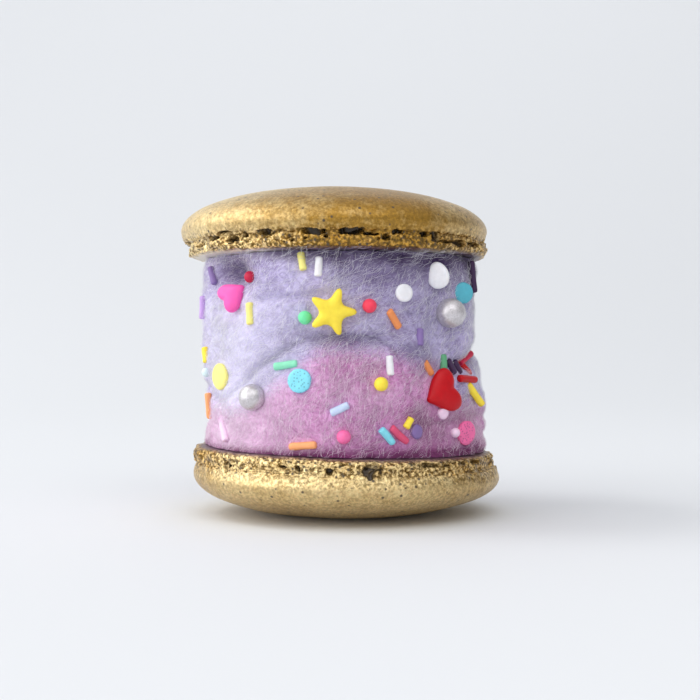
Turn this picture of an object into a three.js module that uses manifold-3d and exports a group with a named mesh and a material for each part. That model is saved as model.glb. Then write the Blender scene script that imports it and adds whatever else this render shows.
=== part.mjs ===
// A tall macaron: two gold shells with a thick filling of spun sugar floss between them, lavender
// floss over pink, and sugar sprinkles stuck to the floss all round.
//
// Millimetres, +Z up. The origin is on the table under the middle of the macaron, and the side with
// the star faces -Y. An azimuth is in degrees round +Z: 0 is the front, +90 the right-hand side.
import * as THREE from "three";
import { mergeVertices } from "three/addons/utils/BufferGeometryUtils.js";
import Module from "manifold-3d";

const wasm = await Module();
wasm.setup();

// Driving dimensions of the shells
const SHELL_RADIUS = 24.9; // widest, a little above the foot
const LOWER_SHELL = {
  offset: 0.9, // of the axis, to the right
  footShift: -0.5, // of the foot from the dome, to the right
  height: 10.5,
  flat: 9.5, // radius of the flat spot
  ruffle: 0.36, // how far the foot's frill bulges and dips
  frillPhase: 0.8,
  crackDepth: 0.9,
  // Cracks between foot and dome, from one azimuth to another
  cracks: [
    [-52, -43],
    [-22, -15],
    [5, 13],
    [29, 58],
    [80, 95],
    [119, 127],
    [150, 172],
    [199, 206],
    [225, 243],
    [262, 271],
  ],
};
const UPPER_SHELL = {
  offset: -1.1,
  footShift: 0.7,
  height: 11.2,
  flat: 5.0,
  ruffle: 0.42,
  frillPhase: 2.9,
  crackDepth: 1.4,
  cracks: [
    [-65, -59],
    [-52, -38],
    [-28, -20],
    [-12, -2],
    [2, 13],
    [15, 26],
    [30, 66],
    [78, 90],
    [101, 112],
    [131, 149],
    [156, 170],
    [190, 209],
    [217, 226],
    [246, 262],
    [272, 283],
  ],
};
const FOOT_RADIUS = 24.3; // the frilly band that the dome rose on
const FOOT_HEIGHT = 2.3;
const INNER_FACE_RADIUS = 22.8;
const WIDEST_HEIGHT = 4.2; // above the shell's flat inner face
const DOME_ROUNDNESS = 2.1; // power of the superellipse: 2 is an ellipse, more is squarer
const LOWER_SLOPE = 0.065; // the lower shell is thicker on the left by this share
const SHELL_COLUMNS = 72;

// Driving dimensions of the floss
const UPPER_SHELL_BASE = 41.0; // height of the upper shell's flat inner face
const TOUCHING_GAP = 0.3; // left between pieces that lie on each other
const FLOSS_RADIUS = 21.9;
const EDGE_TUCK = 0.7; // how far the floss draws in under the upper shell
const EDGE_TUCK_HEIGHT = 1.0;
const SEAM_GROOVE = 0.5; // crease where the lavender floss lies over the pink
const SEAM_GROOVE_HEIGHT = 0.9;
const FLOSS_COLUMNS = 64;

// Height of the seam between lavender and pink floss all the way round: azimuth, height
const SEAM = [
  [-90, 20.8],
  [-58, 18.5],
  [-42, 21.5],
  [-28, 24.8],
  [-15, 27.6],
  [3, 28.2],
  [20, 26.8],
  [27, 21.0],
  [33, 15.9],
  [45, 15.5],
  [58, 16.0],
  [75, 16.2],
  [95, 15.8],
  [125, 21.0],
  [165, 26.5],
  [195, 24.0],
  [228, 19.0],
];

// Puffs and creases of the floss: azimuth, height, half-width in degrees, half-height, rise (- is a dent)
const PUFFS = [
  [-88, 32, 30, 6, 0.4], // left side, full
  [-85, 16, 25, 4, -0.8], // drawn in above the lower shell
  [-36, 28, 13, 5, 0.9],
  [-27, 37.5, 12, 2.6, 0.6],
  [-20, 34.2, 16, 0.8, -0.6], // level crease left of the star
  [-48, 38, 9, 2.4, -3.2], // deep hollow under the upper shell
  [-14, 28.8, 7, 2, -0.7], // valley between the lobes of lavender
  [-2, 33, 26, 4, 0.6],
  [24, 29, 10, 1.5, -0.7], // crease where lavender sags onto the pink
  [5, 20, 30, 6, 1.1], // the pink dome in front
  [40, 30, 5, 8, -1.4], // upright crease right of the front
  [35, 16, 5, 5, -0.8],
  [58, 24.2, 12, 1.4, -1.0], // pocket where red sprinkles sit
  [62, 31, 12, 4.5, 0.7],
  [88, 33, 25, 7, -0.7],
  [86, 26.4, 16, 1.3, -1.3], // notch in the right-hand outline
  [80, 17, 24, 6, 1.3],
  [85, 11, 30, 1.5, 0.9],
  [110, 20, 10, 3, -0.7],
  [125, 33, 22, 5, 0.7],
  [150, 20, 24, 5, 0.8],
  [165, 28, 14, 1.2, -1.0],
  [190, 35, 20, 4, 0.6],
  [205, 18, 26, 5, 0.5],
  [222, 25, 12, 1.4, -0.9],
  [235, 31, 20, 5, 0.5],
  [255, 22, 8, 3, -0.6],
];

// Sprinkle sizes
const ROD_WIDTH = 1.15;
const DISC_THICKNESS = 0.9;
const SHAPE_THICKNESS = 1.8; // of the pressed sugar star and hearts
const SINK = { rod: 0.12, bead: 0.35, pearl: 0.7, disc: 0.2, star: 0.4, heart: 0.3 }; // centre above the floss
const LEAN_LIFT = 0.25; // of a leaning one's size, which keeps its low edge out of the floss

// Sprinkles on the front: kind, azimuth, height, turn of the long axis from level, length or width.
// A few don't lie flat: their sixth value leans them towards a higher azimuth, in degrees
const FRONT_SPRINKLES = [
  ["star", -3, 31.8, 73, 6.6, 14],
  ["heart", -47, 34.2, 40, 5.1, 24],
  ["heart", 44, 19.9, 203, 6.8, -10],
  ["pearl", 48, 31.9, 0, 4.5],
  ["pearl", -35, 19.2, 0, 4.0],
  ["disc", 25, 34.7, 0, 2.7],
  ["disc", 43.5, 37.7, 0, 4.1, -38],
  ["disc", 58, 35.1, 0, 3.3, -38],
  ["disc", -15, 21.8, 0, 3.6],
  ["disc", -57, 22.2, 0, 4.1],
  ["disc", 44, 16.6, 0, 1.8],
  ["disc", 58, 14.2, 0, 3.8, -12],
  ["disc", 31, 14.6, 0, 2.3],
  ["bead", -13, 31.1, 0, 2.0],
  ["bead", 11, 32.7, 0, 2.1],
  ["bead", 15, 21.3, 0, 2.1],
  ["bead", 1.5, 13.7, 0, 2.1],
  ["bead", 51, 13.7, 0, 1.5],
  ["bead", -74, 22.8, 0, 1.5],
  ["bead", -37.5, 37.2, 0, 1.8],
  ["rod", -14.5, 40, 100, 2.8],
  ["rod", -8, 38.4, 88, 3.0],
  ["rod", -36, 31.7, 98, 3.3],
  ["rod", -77, 33.1, 85, 3.7, 12],
  ["rod", 21, 30.9, 129, 3.3],
  ["rod", 70, 37.8, 98, 5.0, -20],
  ["rod", 33, 28.2, 80, 2.6],
  ["rod", -21, 24.6, 8, 3.7],
  ["rod", -75, 25.5, 112, 2.6, 15],
  ["rod", -78, 17.5, 90, 4.2, 10],
  ["rod", -54, 13.7, 128, 3.4],
  ["rod", 19, 24.0, 90, 3.0],
  ["rod", 37.5, 23.6, 134, 2.6],
  ["rod", 46, 24.2, 88, 2.8],
  ["rod", 50.5, 23.7, 124, 2.6],
  ["rod", 56, 23.6, 121, 2.4],
  ["rod", 65, 25.1, 22, 4.2],
  ["rod", 63, 23.7, 137, 4.0],
  ["rod", 60, 21.7, -3, 4.8],
  ["rod", 65, 19.4, 132, 4.6, -25],
  ["rod", 27, 15.5, 56, 1.7],
  ["rod", 0, 17.7, 26, 2.9],
  ["rod", 18, 13.7, 134, 3.1],
  ["rod", 23, 13.8, 141, 3.7],
  ["rod", -14, 12.3, 5, 4.1],
  ["rod", -64, 37.9, 118, 3.0],
];

// The other sides: a rule spreads the same kinds evenly, each step a golden share of the way round
const BACK_COUNT = 32;
const BACK_FROM = 102; // azimuths
const BACK_TO = 256;
const BACK_MARGIN = 1.2; // kept clear of both shells
const STEP_ROUND = 0.7548777; // shares of the plastic number, which never bunch up
const STEP_UP = 0.5698403;
const STEP_TURN = 0.618034;
const BACK_KINDS = [
  ["rod", 3.4],
  ["bead", 2.1],
  ["rod", 4.1],
  ["disc", 3.4],
  ["rod", 3.0],
  ["rod", 3.7],
  ["bead", 2.0],
  ["rod", 4.3],
  ["pearl", 4.1],
  ["rod", 3.2],
  ["disc", 2.8],
];

const UP = new THREE.Vector3(0, 0, 1);

const GOLD = new THREE.MeshStandardMaterial({ color: 0xc9a257, metalness: 1.0, roughness: 0.4 });
const LAVENDER = new THREE.MeshStandardMaterial({ color: 0xb9a8dc, metalness: 0.0, roughness: 0.9 });
const PINK = new THREE.MeshStandardMaterial({ color: 0xd09ccb, metalness: 0.0, roughness: 0.9 });

const radians = THREE.MathUtils.degToRad;
const fraction = (value) => value - Math.floor(value);
const turnBetween = (a, b) => THREE.MathUtils.euclideanModulo(a - b + 180, 360) - 180;
const bell = (share) => Math.exp(-share * share);

// Solids

function solidOf(geometry) {
  const bare = geometry.clone();
  bare.deleteAttribute("normal");
  bare.deleteAttribute("uv");
  const merged = mergeVertices(bare, 1e-4);
  return new wasm.Manifold(
    new wasm.Mesh({
      numProp: 3,
      vertProperties: merged.getAttribute("position").array,
      triVerts: new Uint32Array(merged.index.array),
    }),
  );
}

function geometryOf(solid) {
  const { vertProperties, triVerts } = solid.getMesh();
  const geometry = new THREE.BufferGeometry();
  geometry.setAttribute("position", new THREE.BufferAttribute(vertProperties, 3));
  geometry.setIndex(new THREE.BufferAttribute(triVerts, 1));
  geometry.computeVertexNormals();
  return geometry;
}

// A lathe form whose every vertex is then placed by place(azimuth, profile point) as { r, z }.
function turned(profile, columns, place) {
  const lathe = new THREE.LatheGeometry(
    profile.map((point) => new THREE.Vector2(point.r, point.z)),
    columns,
  );
  const position = lathe.getAttribute("position");
  for (let column = 0; column <= columns; column++) {
    const azimuth = ((column % columns) / columns) * 360;
    const side = Math.sin(radians(azimuth));
    const front = -Math.cos(radians(azimuth));
    profile.forEach((point, row) => {
      const { r, z } = place(azimuth, point);
      position.setXYZ(column * profile.length + row, r * side, r * front, z);
    });
  }
  return lathe;
}

function namedMesh(name, geometry, material) {
  const mesh = new THREE.Mesh(geometry, material);
  mesh.name = name;
  return mesh;
}

// Shells

// Section of a shell lying on its flat inner face, from the axis out, up the foot and over the dome.
// rough is how far each point takes part in the foot's frill, and gap in the groove under the dome.
function shellSection({ height, flat }) {
  const section = [
    { r: 0, z: 0, rough: 0, gap: 0 },
    { r: INNER_FACE_RADIUS * 0.6, z: 0, rough: 0, gap: 0 },
    { r: INNER_FACE_RADIUS, z: 0, rough: 0.4, gap: 0 },
    { r: FOOT_RADIUS - 0.35, z: 0.3, rough: 1, gap: 0 },
    { r: FOOT_RADIUS, z: 1.0, rough: 1, gap: 0 },
    { r: FOOT_RADIUS - 0.1, z: FOOT_HEIGHT - 0.5, rough: 1, gap: 0.15 },
    { r: FOOT_RADIUS - 0.2, z: FOOT_HEIGHT, rough: 0.7, gap: 1 },
    { r: FOOT_RADIUS + 0.1, z: FOOT_HEIGHT + 0.45, rough: 0.3, gap: 0.9 },
    { r: SHELL_RADIUS - 0.35, z: FOOT_HEIGHT + 0.7, rough: 0.15, gap: 0 },
  ];
  const rows = 7;
  const power = 2 / DOME_ROUNDNESS;
  const last = Math.acos((flat / SHELL_RADIUS) ** (1 / power));
  for (let row = 0; row <= rows; row++) {
    const angle = (last * row) / rows;
    const rise = (Math.sin(angle) / Math.sin(last)) ** power;
    section.push({
      r: SHELL_RADIUS * Math.cos(angle) ** power,
      z: WIDEST_HEIGHT + (height - WIDEST_HEIGHT) * rise,
      rough: 0,
      gap: 0,
    });
  }
  section.push({ r: 0, z: height, rough: 0, gap: 0 });
  return section;
}

// Frill of the foot, from -1 to 1: it bulges and cracks unevenly round the shell.
function frill(azimuth, z, phase) {
  const a = radians(azimuth);
  return (
    0.34 * Math.sin(9 * a + phase) +
    0.3 * Math.sin(16 * a + 2.1 * phase + 1.4 * z) +
    0.24 * Math.sin(27 * a - 1.3 * phase - 2.0 * z) +
    0.12 * Math.sin(5 * a + 0.7 * phase)
  );
}

// How far the foot has cracked away from the dome at an azimuth, from 0 to 1 in the middle of a crack
function crackOpening(azimuth, cracks) {
  const easeIn = 3; // degrees at each end of a crack
  const openings = cracks.map(([from, to]) => {
    const halfWidth = (to - from) / 2;
    const inside = halfWidth - Math.abs(turnBetween(azimuth, (from + to) / 2));
    return THREE.MathUtils.smoothstep(inside, -easeIn / 2, easeIn / 2);
  });
  return Math.max(...openings);
}

// A shell standing on the height 0: the upper one on its flat inner face, the lower one on its dome.
function shellGeometry(shell, isUpsideDown) {
  const section = shellSection(shell);
  if (isUpsideDown) {
    section.reverse();
  }
  return turned(section, SHELL_COLUMNS, (azimuth, point) => {
    const frilled = point.r + point.rough * shell.ruffle * frill(azimuth, point.z, shell.frillPhase);
    const cracked = frilled - point.gap * shell.crackDepth * crackOpening(azimuth, shell.cracks);
    const isFoot = point.r > 0 && point.z < FOOT_HEIGHT + 0.1;
    const shift = isFoot ? shell.footShift * Math.sin(radians(azimuth)) : 0;
    return { r: cracked + shift, z: isUpsideDown ? shell.height - point.z : point.z };
  });
}

// Height of the lower shell's flat inner face, which slopes down a little to the right.
function lowerShellTop(x) {
  return LOWER_SHELL.height * (1 - (LOWER_SLOPE * (x - LOWER_SHELL.offset)) / SHELL_RADIUS);
}

function lowerShell() {
  const geometry = shellGeometry(LOWER_SHELL, true).translate(LOWER_SHELL.offset, 0, 0);
  const position = geometry.getAttribute("position");
  for (let i = 0; i < position.count; i++) {
    const share = lowerShellTop(position.getX(i)) / LOWER_SHELL.height;
    position.setZ(i, position.getZ(i) * share);
  }
  return geometryOf(solidOf(geometry));
}

function upperShell() {
  const geometry = shellGeometry(UPPER_SHELL, false);
  geometry.translate(UPPER_SHELL.offset, 0, UPPER_SHELL_BASE);
  return geometryOf(solidOf(geometry));
}

// Floss

const FLOSS_TOP = UPPER_SHELL_BASE - TOUCHING_GAP;

function flossBottom(azimuth, share) {
  return lowerShellTop(share * FLOSS_RADIUS * Math.sin(radians(azimuth))) + TOUCHING_GAP;
}

// A smooth curve through the seam's points, going round
function seamHeight(azimuth) {
  const start = SEAM[0][0];
  const a = THREE.MathUtils.euclideanModulo(azimuth - start, 360) + start;
  const point = (i) => {
    const laps = Math.floor(i / SEAM.length);
    const [at, height] = SEAM[i - laps * SEAM.length];
    return [at + 360 * laps, height];
  };
  const i = SEAM.findLastIndex(([at]) => at <= a);
  const [[a0, h0], [a1, h1], [a2, h2], [a3, h3]] = [point(i - 1), point(i), point(i + 1), point(i + 2)];
  const span = a2 - a1;
  const t = (a - a1) / span;
  const slope1 = ((h2 - h0) / (a2 - a0)) * span;
  const slope2 = ((h3 - h1) / (a3 - a1)) * span;
  const eased = t * t * (3 - 2 * t);
  return h1 + (h2 - h1) * eased + t * (1 - t) * (slope1 * (1 - t) - slope2 * t);
}

function flossRadius(azimuth, z) {
  const a = radians(azimuth);
  let r = FLOSS_RADIUS;
  for (const [at, height, halfWidth, halfHeight, rise] of PUFFS) {
    r += rise * bell(turnBetween(azimuth, at) / halfWidth) * bell((z - height) / halfHeight);
  }
  r -= SEAM_GROOVE * bell((z - seamHeight(azimuth)) / SEAM_GROOVE_HEIGHT);
  r -= EDGE_TUCK * bell((z - FLOSS_TOP) / EDGE_TUCK_HEIGHT);
  return r + 0.12 * Math.sin(9 * a + 0.8 * z) + 0.08 * Math.sin(17 * a - 1.1 * z);
}

// A layer of floss between two heights, each given by (azimuth, share of the radius)
function flossLayer(bottom, top, sideRows) {
  const section = [
    { r: 0, z: 0, cap: bottom },
    { r: 0.5, z: 0, cap: bottom },
    { r: 0.88, z: 0, cap: bottom },
  ];
  for (let row = 0; row <= sideRows; row++) {
    section.push({ r: 1, z: row / sideRows });
  }
  section.push({ r: 0.88, z: 1, cap: top }, { r: 0.5, z: 1, cap: top }, { r: 0, z: 1, cap: top });
  return turned(section, FLOSS_COLUMNS, (azimuth, point) => {
    if (point.cap) {
      return { r: point.r * (FLOSS_RADIUS - 1), z: point.cap(azimuth, point.r) };
    }
    const z = THREE.MathUtils.lerp(bottom(azimuth, 1), top(azimuth, 1), point.z);
    return { r: flossRadius(azimuth, z), z };
  });
}

// The seam inside the food: it flattens to one height at the axis.
const SEAM_AT_AXIS = 22;
function seamInside(azimuth, share) {
  return THREE.MathUtils.lerp(SEAM_AT_AXIS, seamHeight(azimuth), share * share);
}

// Sprinkles

function starShape(width) {
  const shape = new THREE.Shape();
  const inner = 0.27 * width;
  const shoulder = 0.4 * width;
  const tip = 0.56 * width;
  const at = (angle, r) => [r * Math.cos(angle), r * Math.sin(angle)];
  for (let arm = 0; arm < 5; arm++) {
    const middle = (arm / 5) * 2 * Math.PI;
    const valley = at(middle - Math.PI / 5, inner);
    if (arm === 0) {
      shape.moveTo(...valley);
    } else {
      shape.lineTo(...valley);
    }
    shape.lineTo(...at(middle - 0.2, shoulder));
    shape.quadraticCurveTo(...at(middle, tip), ...at(middle + 0.2, shoulder));
  }
  shape.closePath();
  return shape;
}

// Heart with its point towards +X
function heartShape(width) {
  const shape = new THREE.Shape();
  const w = width;
  shape.moveTo(-0.28 * w, 0);
  shape.bezierCurveTo(-0.4 * w, 0.12 * w, -0.46 * w, 0.5 * w, -0.12 * w, 0.5 * w);
  shape.bezierCurveTo(0.14 * w, 0.5 * w, 0.3 * w, 0.18 * w, 0.46 * w, 0);
  shape.bezierCurveTo(0.3 * w, -0.18 * w, 0.14 * w, -0.5 * w, -0.12 * w, -0.5 * w);
  shape.bezierCurveTo(-0.46 * w, -0.5 * w, -0.4 * w, -0.12 * w, -0.28 * w, 0);
  return shape;
}

function pressedShape(shape, curveSegments) {
  const bevel = 0.45;
  const geometry = new THREE.ExtrudeGeometry(shape, {
    depth: SHAPE_THICKNESS - 2 * bevel,
    bevelThickness: bevel,
    bevelSize: bevel,
    bevelOffset: -bevel,
    bevelSegments: 1,
    curveSegments,
  });
  return geometry.translate(0, 0, bevel - SHAPE_THICKNESS / 2);
}

// One sprinkle at the origin, its long axis along X and its back towards -Z.
function sprinkleForm(kind, size) {
  switch (kind) {
    case "rod":
      return new THREE.CylinderGeometry(ROD_WIDTH / 2, ROD_WIDTH / 2, size, 6).rotateZ(Math.PI / 2);
    case "bead":
      return new THREE.IcosahedronGeometry((1.12 * size) / 2, 0);
    case "pearl":
      return new THREE.SphereGeometry(size / 2, 8, 6).rotateX(Math.PI / 2);
    case "disc":
      return new THREE.CylinderGeometry(size / 2, size / 2, DISC_THICKNESS, 8).rotateX(Math.PI / 2);
    case "star":
      return pressedShape(starShape(size), 2);
    case "heart":
      return pressedShape(heartShape(size), 4);
    default:
      throw new Error(`no sprinkle is called ${kind}`);
  }
}

function backSprinkles() {
  return Array.from({ length: BACK_COUNT }, (_, i) => {
    const [kind, size] = BACK_KINDS[i % BACK_KINDS.length];
    const azimuth = BACK_FROM + (BACK_TO - BACK_FROM) * fraction(0.3 + i * STEP_ROUND);
    const low = flossBottom(azimuth, 1) + BACK_MARGIN;
    const high = FLOSS_TOP - BACK_MARGIN;
    const height = low + (high - low) * fraction(0.6 + i * STEP_UP);
    return [kind, azimuth, height, 180 * fraction(i * STEP_TURN), size];
  });
}

// Up to how far a sprinkle reaches above and below its centre, and to each side of it
function reachOf(kind, turn, size) {
  const long = size / 2;
  if (kind !== "rod") {
    return { up: long, out: long };
  }
  const across = ROD_WIDTH / 2;
  const rise = Math.abs(Math.sin(radians(turn)));
  const run = Math.abs(Math.cos(radians(turn)));
  return { up: long * rise + across * run, out: long * run + across * rise };
}

// A sprinkle lies on one layer, clear of the other and of the shells, so its height gives way.
const CLEARANCE = 0.35;
function settledHeight([kind, azimuth, height, turn, size]) {
  const { up, out } = reachOf(kind, turn, size);
  const spread = THREE.MathUtils.radToDeg(out / FLOSS_RADIUS);
  const seams = [-spread, -spread / 2, 0, spread / 2, spread].map((d) => seamHeight(azimuth + d));
  const above = Math.max(...seams) + CLEARANCE + up;
  const below = Math.min(...seams) - CLEARANCE - up;
  let settled = height;
  if (settled < above && settled > below) {
    settled = above - settled < settled - below ? above : below;
  }
  const lowest = flossBottom(azimuth, 1) + up;
  return THREE.MathUtils.clamp(settled, lowest, FLOSS_TOP - up);
}

// Point on the floss at an azimuth and height, and the way out of the floss there
function flossPoint(azimuth, z) {
  const r = flossRadius(azimuth, z);
  return new THREE.Vector3(
    r * Math.sin(radians(azimuth)),
    -r * Math.cos(radians(azimuth)),
    z,
  );
}

function flossNormal(azimuth, z) {
  const stepRound = 3; // degrees, and 1.2 mm up: the slope that something this size lies on
  const stepUp = 1.2;
  const round = flossPoint(azimuth + stepRound, z).sub(flossPoint(azimuth - stepRound, z));
  const up = flossPoint(azimuth, z + stepUp).sub(flossPoint(azimuth, z - stepUp));
  return round.cross(up).normalize();
}

function placedSprinkle(sprinkle) {
  const [kind, azimuth, , turn, size, lean = 0] = sprinkle;
  const height = settledHeight(sprinkle);
  const out = flossNormal(azimuth, height).applyAxisAngle(UP, radians(lean));
  const level = UP.clone().cross(out).normalize();
  const upward = out.clone().cross(level);
  const long = level
    .clone()
    .multiplyScalar(Math.cos(radians(turn)))
    .addScaledVector(upward, Math.sin(radians(turn)));
  const place = new THREE.Matrix4().makeBasis(long, out.clone().cross(long), out);
  const lift = SINK[kind] + LEAN_LIFT * size * Math.abs(Math.sin(radians(lean)));
  place.setPosition(flossPoint(azimuth, height).addScaledVector(out, lift));
  return sprinkleForm(kind, size).applyMatrix4(place);
}

// The layer with the sprinkles that lie on it fused to it
function withSprinkles(layer, belongs) {
  const sprinkles = [...FRONT_SPRINKLES, ...backSprinkles()].filter(belongs);
  return sprinkles.reduce(
    (solid, sprinkle) => solid.add(solidOf(placedSprinkle(sprinkle))),
    solidOf(layer),
  );
}

const isOnLavender = (sprinkle) => settledHeight(sprinkle) > seamHeight(sprinkle[1]);

function lavenderFloss() {
  const layer = flossLayer(
    (azimuth, share) => seamInside(azimuth, share) + TOUCHING_GAP / 2,
    () => FLOSS_TOP,
    11,
  );
  return geometryOf(withSprinkles(layer, isOnLavender));
}

function pinkFloss() {
  const layer = flossLayer(
    flossBottom,
    (azimuth, share) => seamInside(azimuth, share) - TOUCHING_GAP / 2,
    8,
  );
  return geometryOf(withSprinkles(layer, (sprinkle) => !isOnLavender(sprinkle)));
}

const macaron = new THREE.Group();
macaron.add(
  namedMesh("lower_shell", lowerShell(), GOLD),
  namedMesh("pink_floss", pinkFloss(), PINK),
  namedMesh("lavender_floss", lavenderFloss(), LAVENDER),
  namedMesh("upper_shell", upperShell(), GOLD),
);

export default macaron;
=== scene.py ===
# %% [markdown]
# # A tall macaron filled with spun sugar floss
# Two gold-dusted almond meringue shells hold a thick wad of candy floss, lavender over pink, and
# sugar sprinkles stick to it all round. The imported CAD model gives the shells' sizes and places.
# Blender adds what a solid can't say: the cracked, frilly foot of each shell, the dusting of gold,
# the thousands of sugar strands and the colour of every sprinkle.

# %% Load the frame
import math
from collections import namedtuple

import bpy
import numpy as np
from mathutils import Matrix, Vector


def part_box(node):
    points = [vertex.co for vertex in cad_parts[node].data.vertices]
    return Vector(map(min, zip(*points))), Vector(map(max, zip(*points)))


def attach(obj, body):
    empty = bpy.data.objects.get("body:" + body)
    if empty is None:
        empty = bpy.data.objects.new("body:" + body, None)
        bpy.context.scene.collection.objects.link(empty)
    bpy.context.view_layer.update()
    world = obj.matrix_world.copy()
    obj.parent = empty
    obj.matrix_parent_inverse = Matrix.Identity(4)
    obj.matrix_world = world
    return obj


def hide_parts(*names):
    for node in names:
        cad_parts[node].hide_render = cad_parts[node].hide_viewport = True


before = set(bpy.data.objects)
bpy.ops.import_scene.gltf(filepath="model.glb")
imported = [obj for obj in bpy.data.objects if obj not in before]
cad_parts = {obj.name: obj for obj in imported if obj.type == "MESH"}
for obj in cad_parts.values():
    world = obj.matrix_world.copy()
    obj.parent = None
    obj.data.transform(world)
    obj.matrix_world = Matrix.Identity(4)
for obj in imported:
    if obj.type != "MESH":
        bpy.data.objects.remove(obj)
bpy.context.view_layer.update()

MM = 0.001


# %% [markdown]
# ## The camera
# The photograph was taken level, from close by, with the middle of the macaron at lens height. That
# is why the upper shell shows a little of its underside and the lower one none of its top. The
# distance was worked out from how much the shells' rims curve, and the focal length from the size.

# %% Camera
IMAGE_WIDTH = 700
SENSOR_WIDTH = 36.0
FOCAL_PIXELS = 1220
CAMERA_PLACE = Vector((1.5, -200.0, 26.3)) * MM

camera = bpy.data.objects.new("camera", bpy.data.cameras.new("camera"))
camera.data.sensor_width = SENSOR_WIDTH
camera.data.lens = FOCAL_PIXELS / IMAGE_WIDTH * SENSOR_WIDTH
camera.data.clip_start = 0.01
camera.location = CAMERA_PLACE
camera.rotation_euler = (math.radians(90), 0, 0)
bpy.context.collection.objects.link(camera)
bpy.context.scene.camera = camera
print("lens", round(camera.data.lens, 1), "mm")


# %% [markdown]
# ## Sizes from the frame
# The box of each CAD node gives the shells' centres and radius and the upper shell's base and
# height, so these are not measured twice. Everything below works in millimetres and in azimuths: 0
# degrees is the front, +90 the right-hand side. Only the last step, when a mesh is made, turns
# millimetres into metres.

# %% Sizes
def node_box(name):
    low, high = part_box(name)
    return np.array(low) / MM, np.array(high) / MM


upper_low, upper_high = node_box("upper_shell")
lower_low, lower_high = node_box("lower_shell")
SHELL_RADIUS = (upper_high[0] - upper_low[0]) / 2
UPPER_OFFSET = (upper_high[0] + upper_low[0]) / 2
LOWER_OFFSET = (lower_high[0] + lower_low[0]) / 2
UPPER_BASE = upper_low[2]
UPPER_HEIGHT = upper_high[2] - upper_low[2]

LOWER_HEIGHT = 10.5
LOWER_SLOPE = 0.065  # the lower shell is thicker on the left by this share
FOOT_RADIUS = 24.3
FOOT_HEIGHT = 2.3
INNER_FACE_RADIUS = 22.8
WIDEST_HEIGHT = 4.2
DOME_ROUNDNESS = 2.1
FLOSS_RADIUS = 21.9
FLOSS_TOP = UPPER_BASE - 0.1
SEAM_GROOVE = 0.5
SEAM_GROOVE_HEIGHT = 0.9
EDGE_TUCK = 0.7
EDGE_TUCK_HEIGHT = 1.0
print("shell radius", round(SHELL_RADIUS, 2), "upper shell", round(UPPER_HEIGHT, 2), "high")


# %% [markdown]
# ## Repeatable unevenness
# Baked meringue and pulled sugar are uneven at every size, so almost every surface here needs a
# random number that depends on a place in space. Two small functions are enough. One blends random
# values between the corners of a grid, which gives soft lumps. The other drops one bubble into each
# cell of a grid and says how deep a place lies in its nearest bubble, which gives pores.

# %% Noise and pores
def cell_random(cells, seed):
    """A number from 0 to 1 for each whole-number cell, always the same for the same cell and seed."""
    x, y, z = (cells[..., i].astype(np.int64) for i in range(3))
    mixed = (x * 374761393 + y * 668265263 + z * 1442695041 + seed * 1274126177) & 0xFFFFFFFF
    mixed = ((mixed ^ (mixed >> 13)) * 1103515245) & 0xFFFFFFFF
    mixed = ((mixed ^ (mixed >> 15)) * 1597334677) & 0xFFFFFFFF
    return (mixed ^ (mixed >> 16)) / 0xFFFFFFFF


def lumps(points, size, seed):
    """Smooth noise from -1 to 1 whose lumps are about size across."""
    place = points / size
    corner = np.floor(place)
    share = place - corner
    share = share * share * (3 - 2 * share)
    total = np.zeros(points.shape[:-1])
    for dx in (0, 1):
        for dy in (0, 1):
            for dz in (0, 1):
                step = np.array((dx, dy, dz))
                weight = np.abs(1 - step - share).prod(axis=-1)
                total += weight * cell_random(corner + step, seed)
    return 2 * total - 1


def crumbs(points, size, seed, octaves=3):
    """Lumps on lumps, each half the size and half the height of the last."""
    layers = [lumps(points, size / 2**i, seed + i) / 2**i for i in range(octaves)]
    return sum(layers) / sum(0.5**i for i in range(octaves))


def pores(points, spacing, widths, share, seed):
    """How deep each point lies in a round pore, from 0 outside it to 1 at its middle."""
    corner = np.floor(points / spacing)
    deepest = np.zeros(points.shape[:-1])
    for dx in (-1, 0, 1):
        for dy in (-1, 0, 1):
            for dz in (-1, 0, 1):
                cell = corner + np.array((dx, dy, dz))
                middle = np.stack([cell_random(cell, seed + i) for i in range(3)], axis=-1)
                away = np.linalg.norm(points - (cell + middle) * spacing, axis=-1)
                radius = 0.5 * (widths[0] + (widths[1] - widths[0]) * cell_random(cell, seed + 3) ** 2)
                depth = np.clip(1 - (away / radius) ** 2, 0, 1)
                there = cell_random(cell, seed + 4) < share
                deepest = np.maximum(deepest, depth * there)
    return deepest


def smoothstep(x, low, high):
    t = np.clip((x - low) / (high - low), 0, 1)
    return t * t * (3 - 2 * t)


def bell(x):
    return np.exp(-x * x)


def degrees_between(a, b):
    return (a - b + 180) % 360 - 180


# %% [markdown]
# ## From a grid of points to a mesh
# Shells, layers of floss and sprinkles are all rings of points stacked from a pole at the bottom to
# a pole at the top. One helper turns such rings into a closed mesh, whose faces point outwards
# because every ring is listed anticlockwise. Another keeps a number for each point, such as how
# hollow the surface is there, as an attribute that a material can read.

# %% Mesh helpers
def make_object(name, points, faces):
    mesh = bpy.data.meshes.new(name)
    mesh.from_pydata((np.asarray(points) * MM).tolist(), [], faces)
    mesh.polygons.foreach_set("use_smooth", [True] * len(mesh.polygons))
    mesh.update()
    made = bpy.data.objects.new(name, mesh)
    bpy.context.collection.objects.link(made)
    return made


def ring_faces(rows, columns):
    """Quads between neighbouring rings whose points are numbered ring by ring."""
    j = np.arange(columns)
    after = (j + 1) % columns
    quads = []
    for row in range(rows - 1):
        low, high = row * columns, (row + 1) * columns
        quads.append(np.stack([low + j, low + after, high + after, high + j], axis=-1))
    return np.concatenate(quads).tolist()


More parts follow.
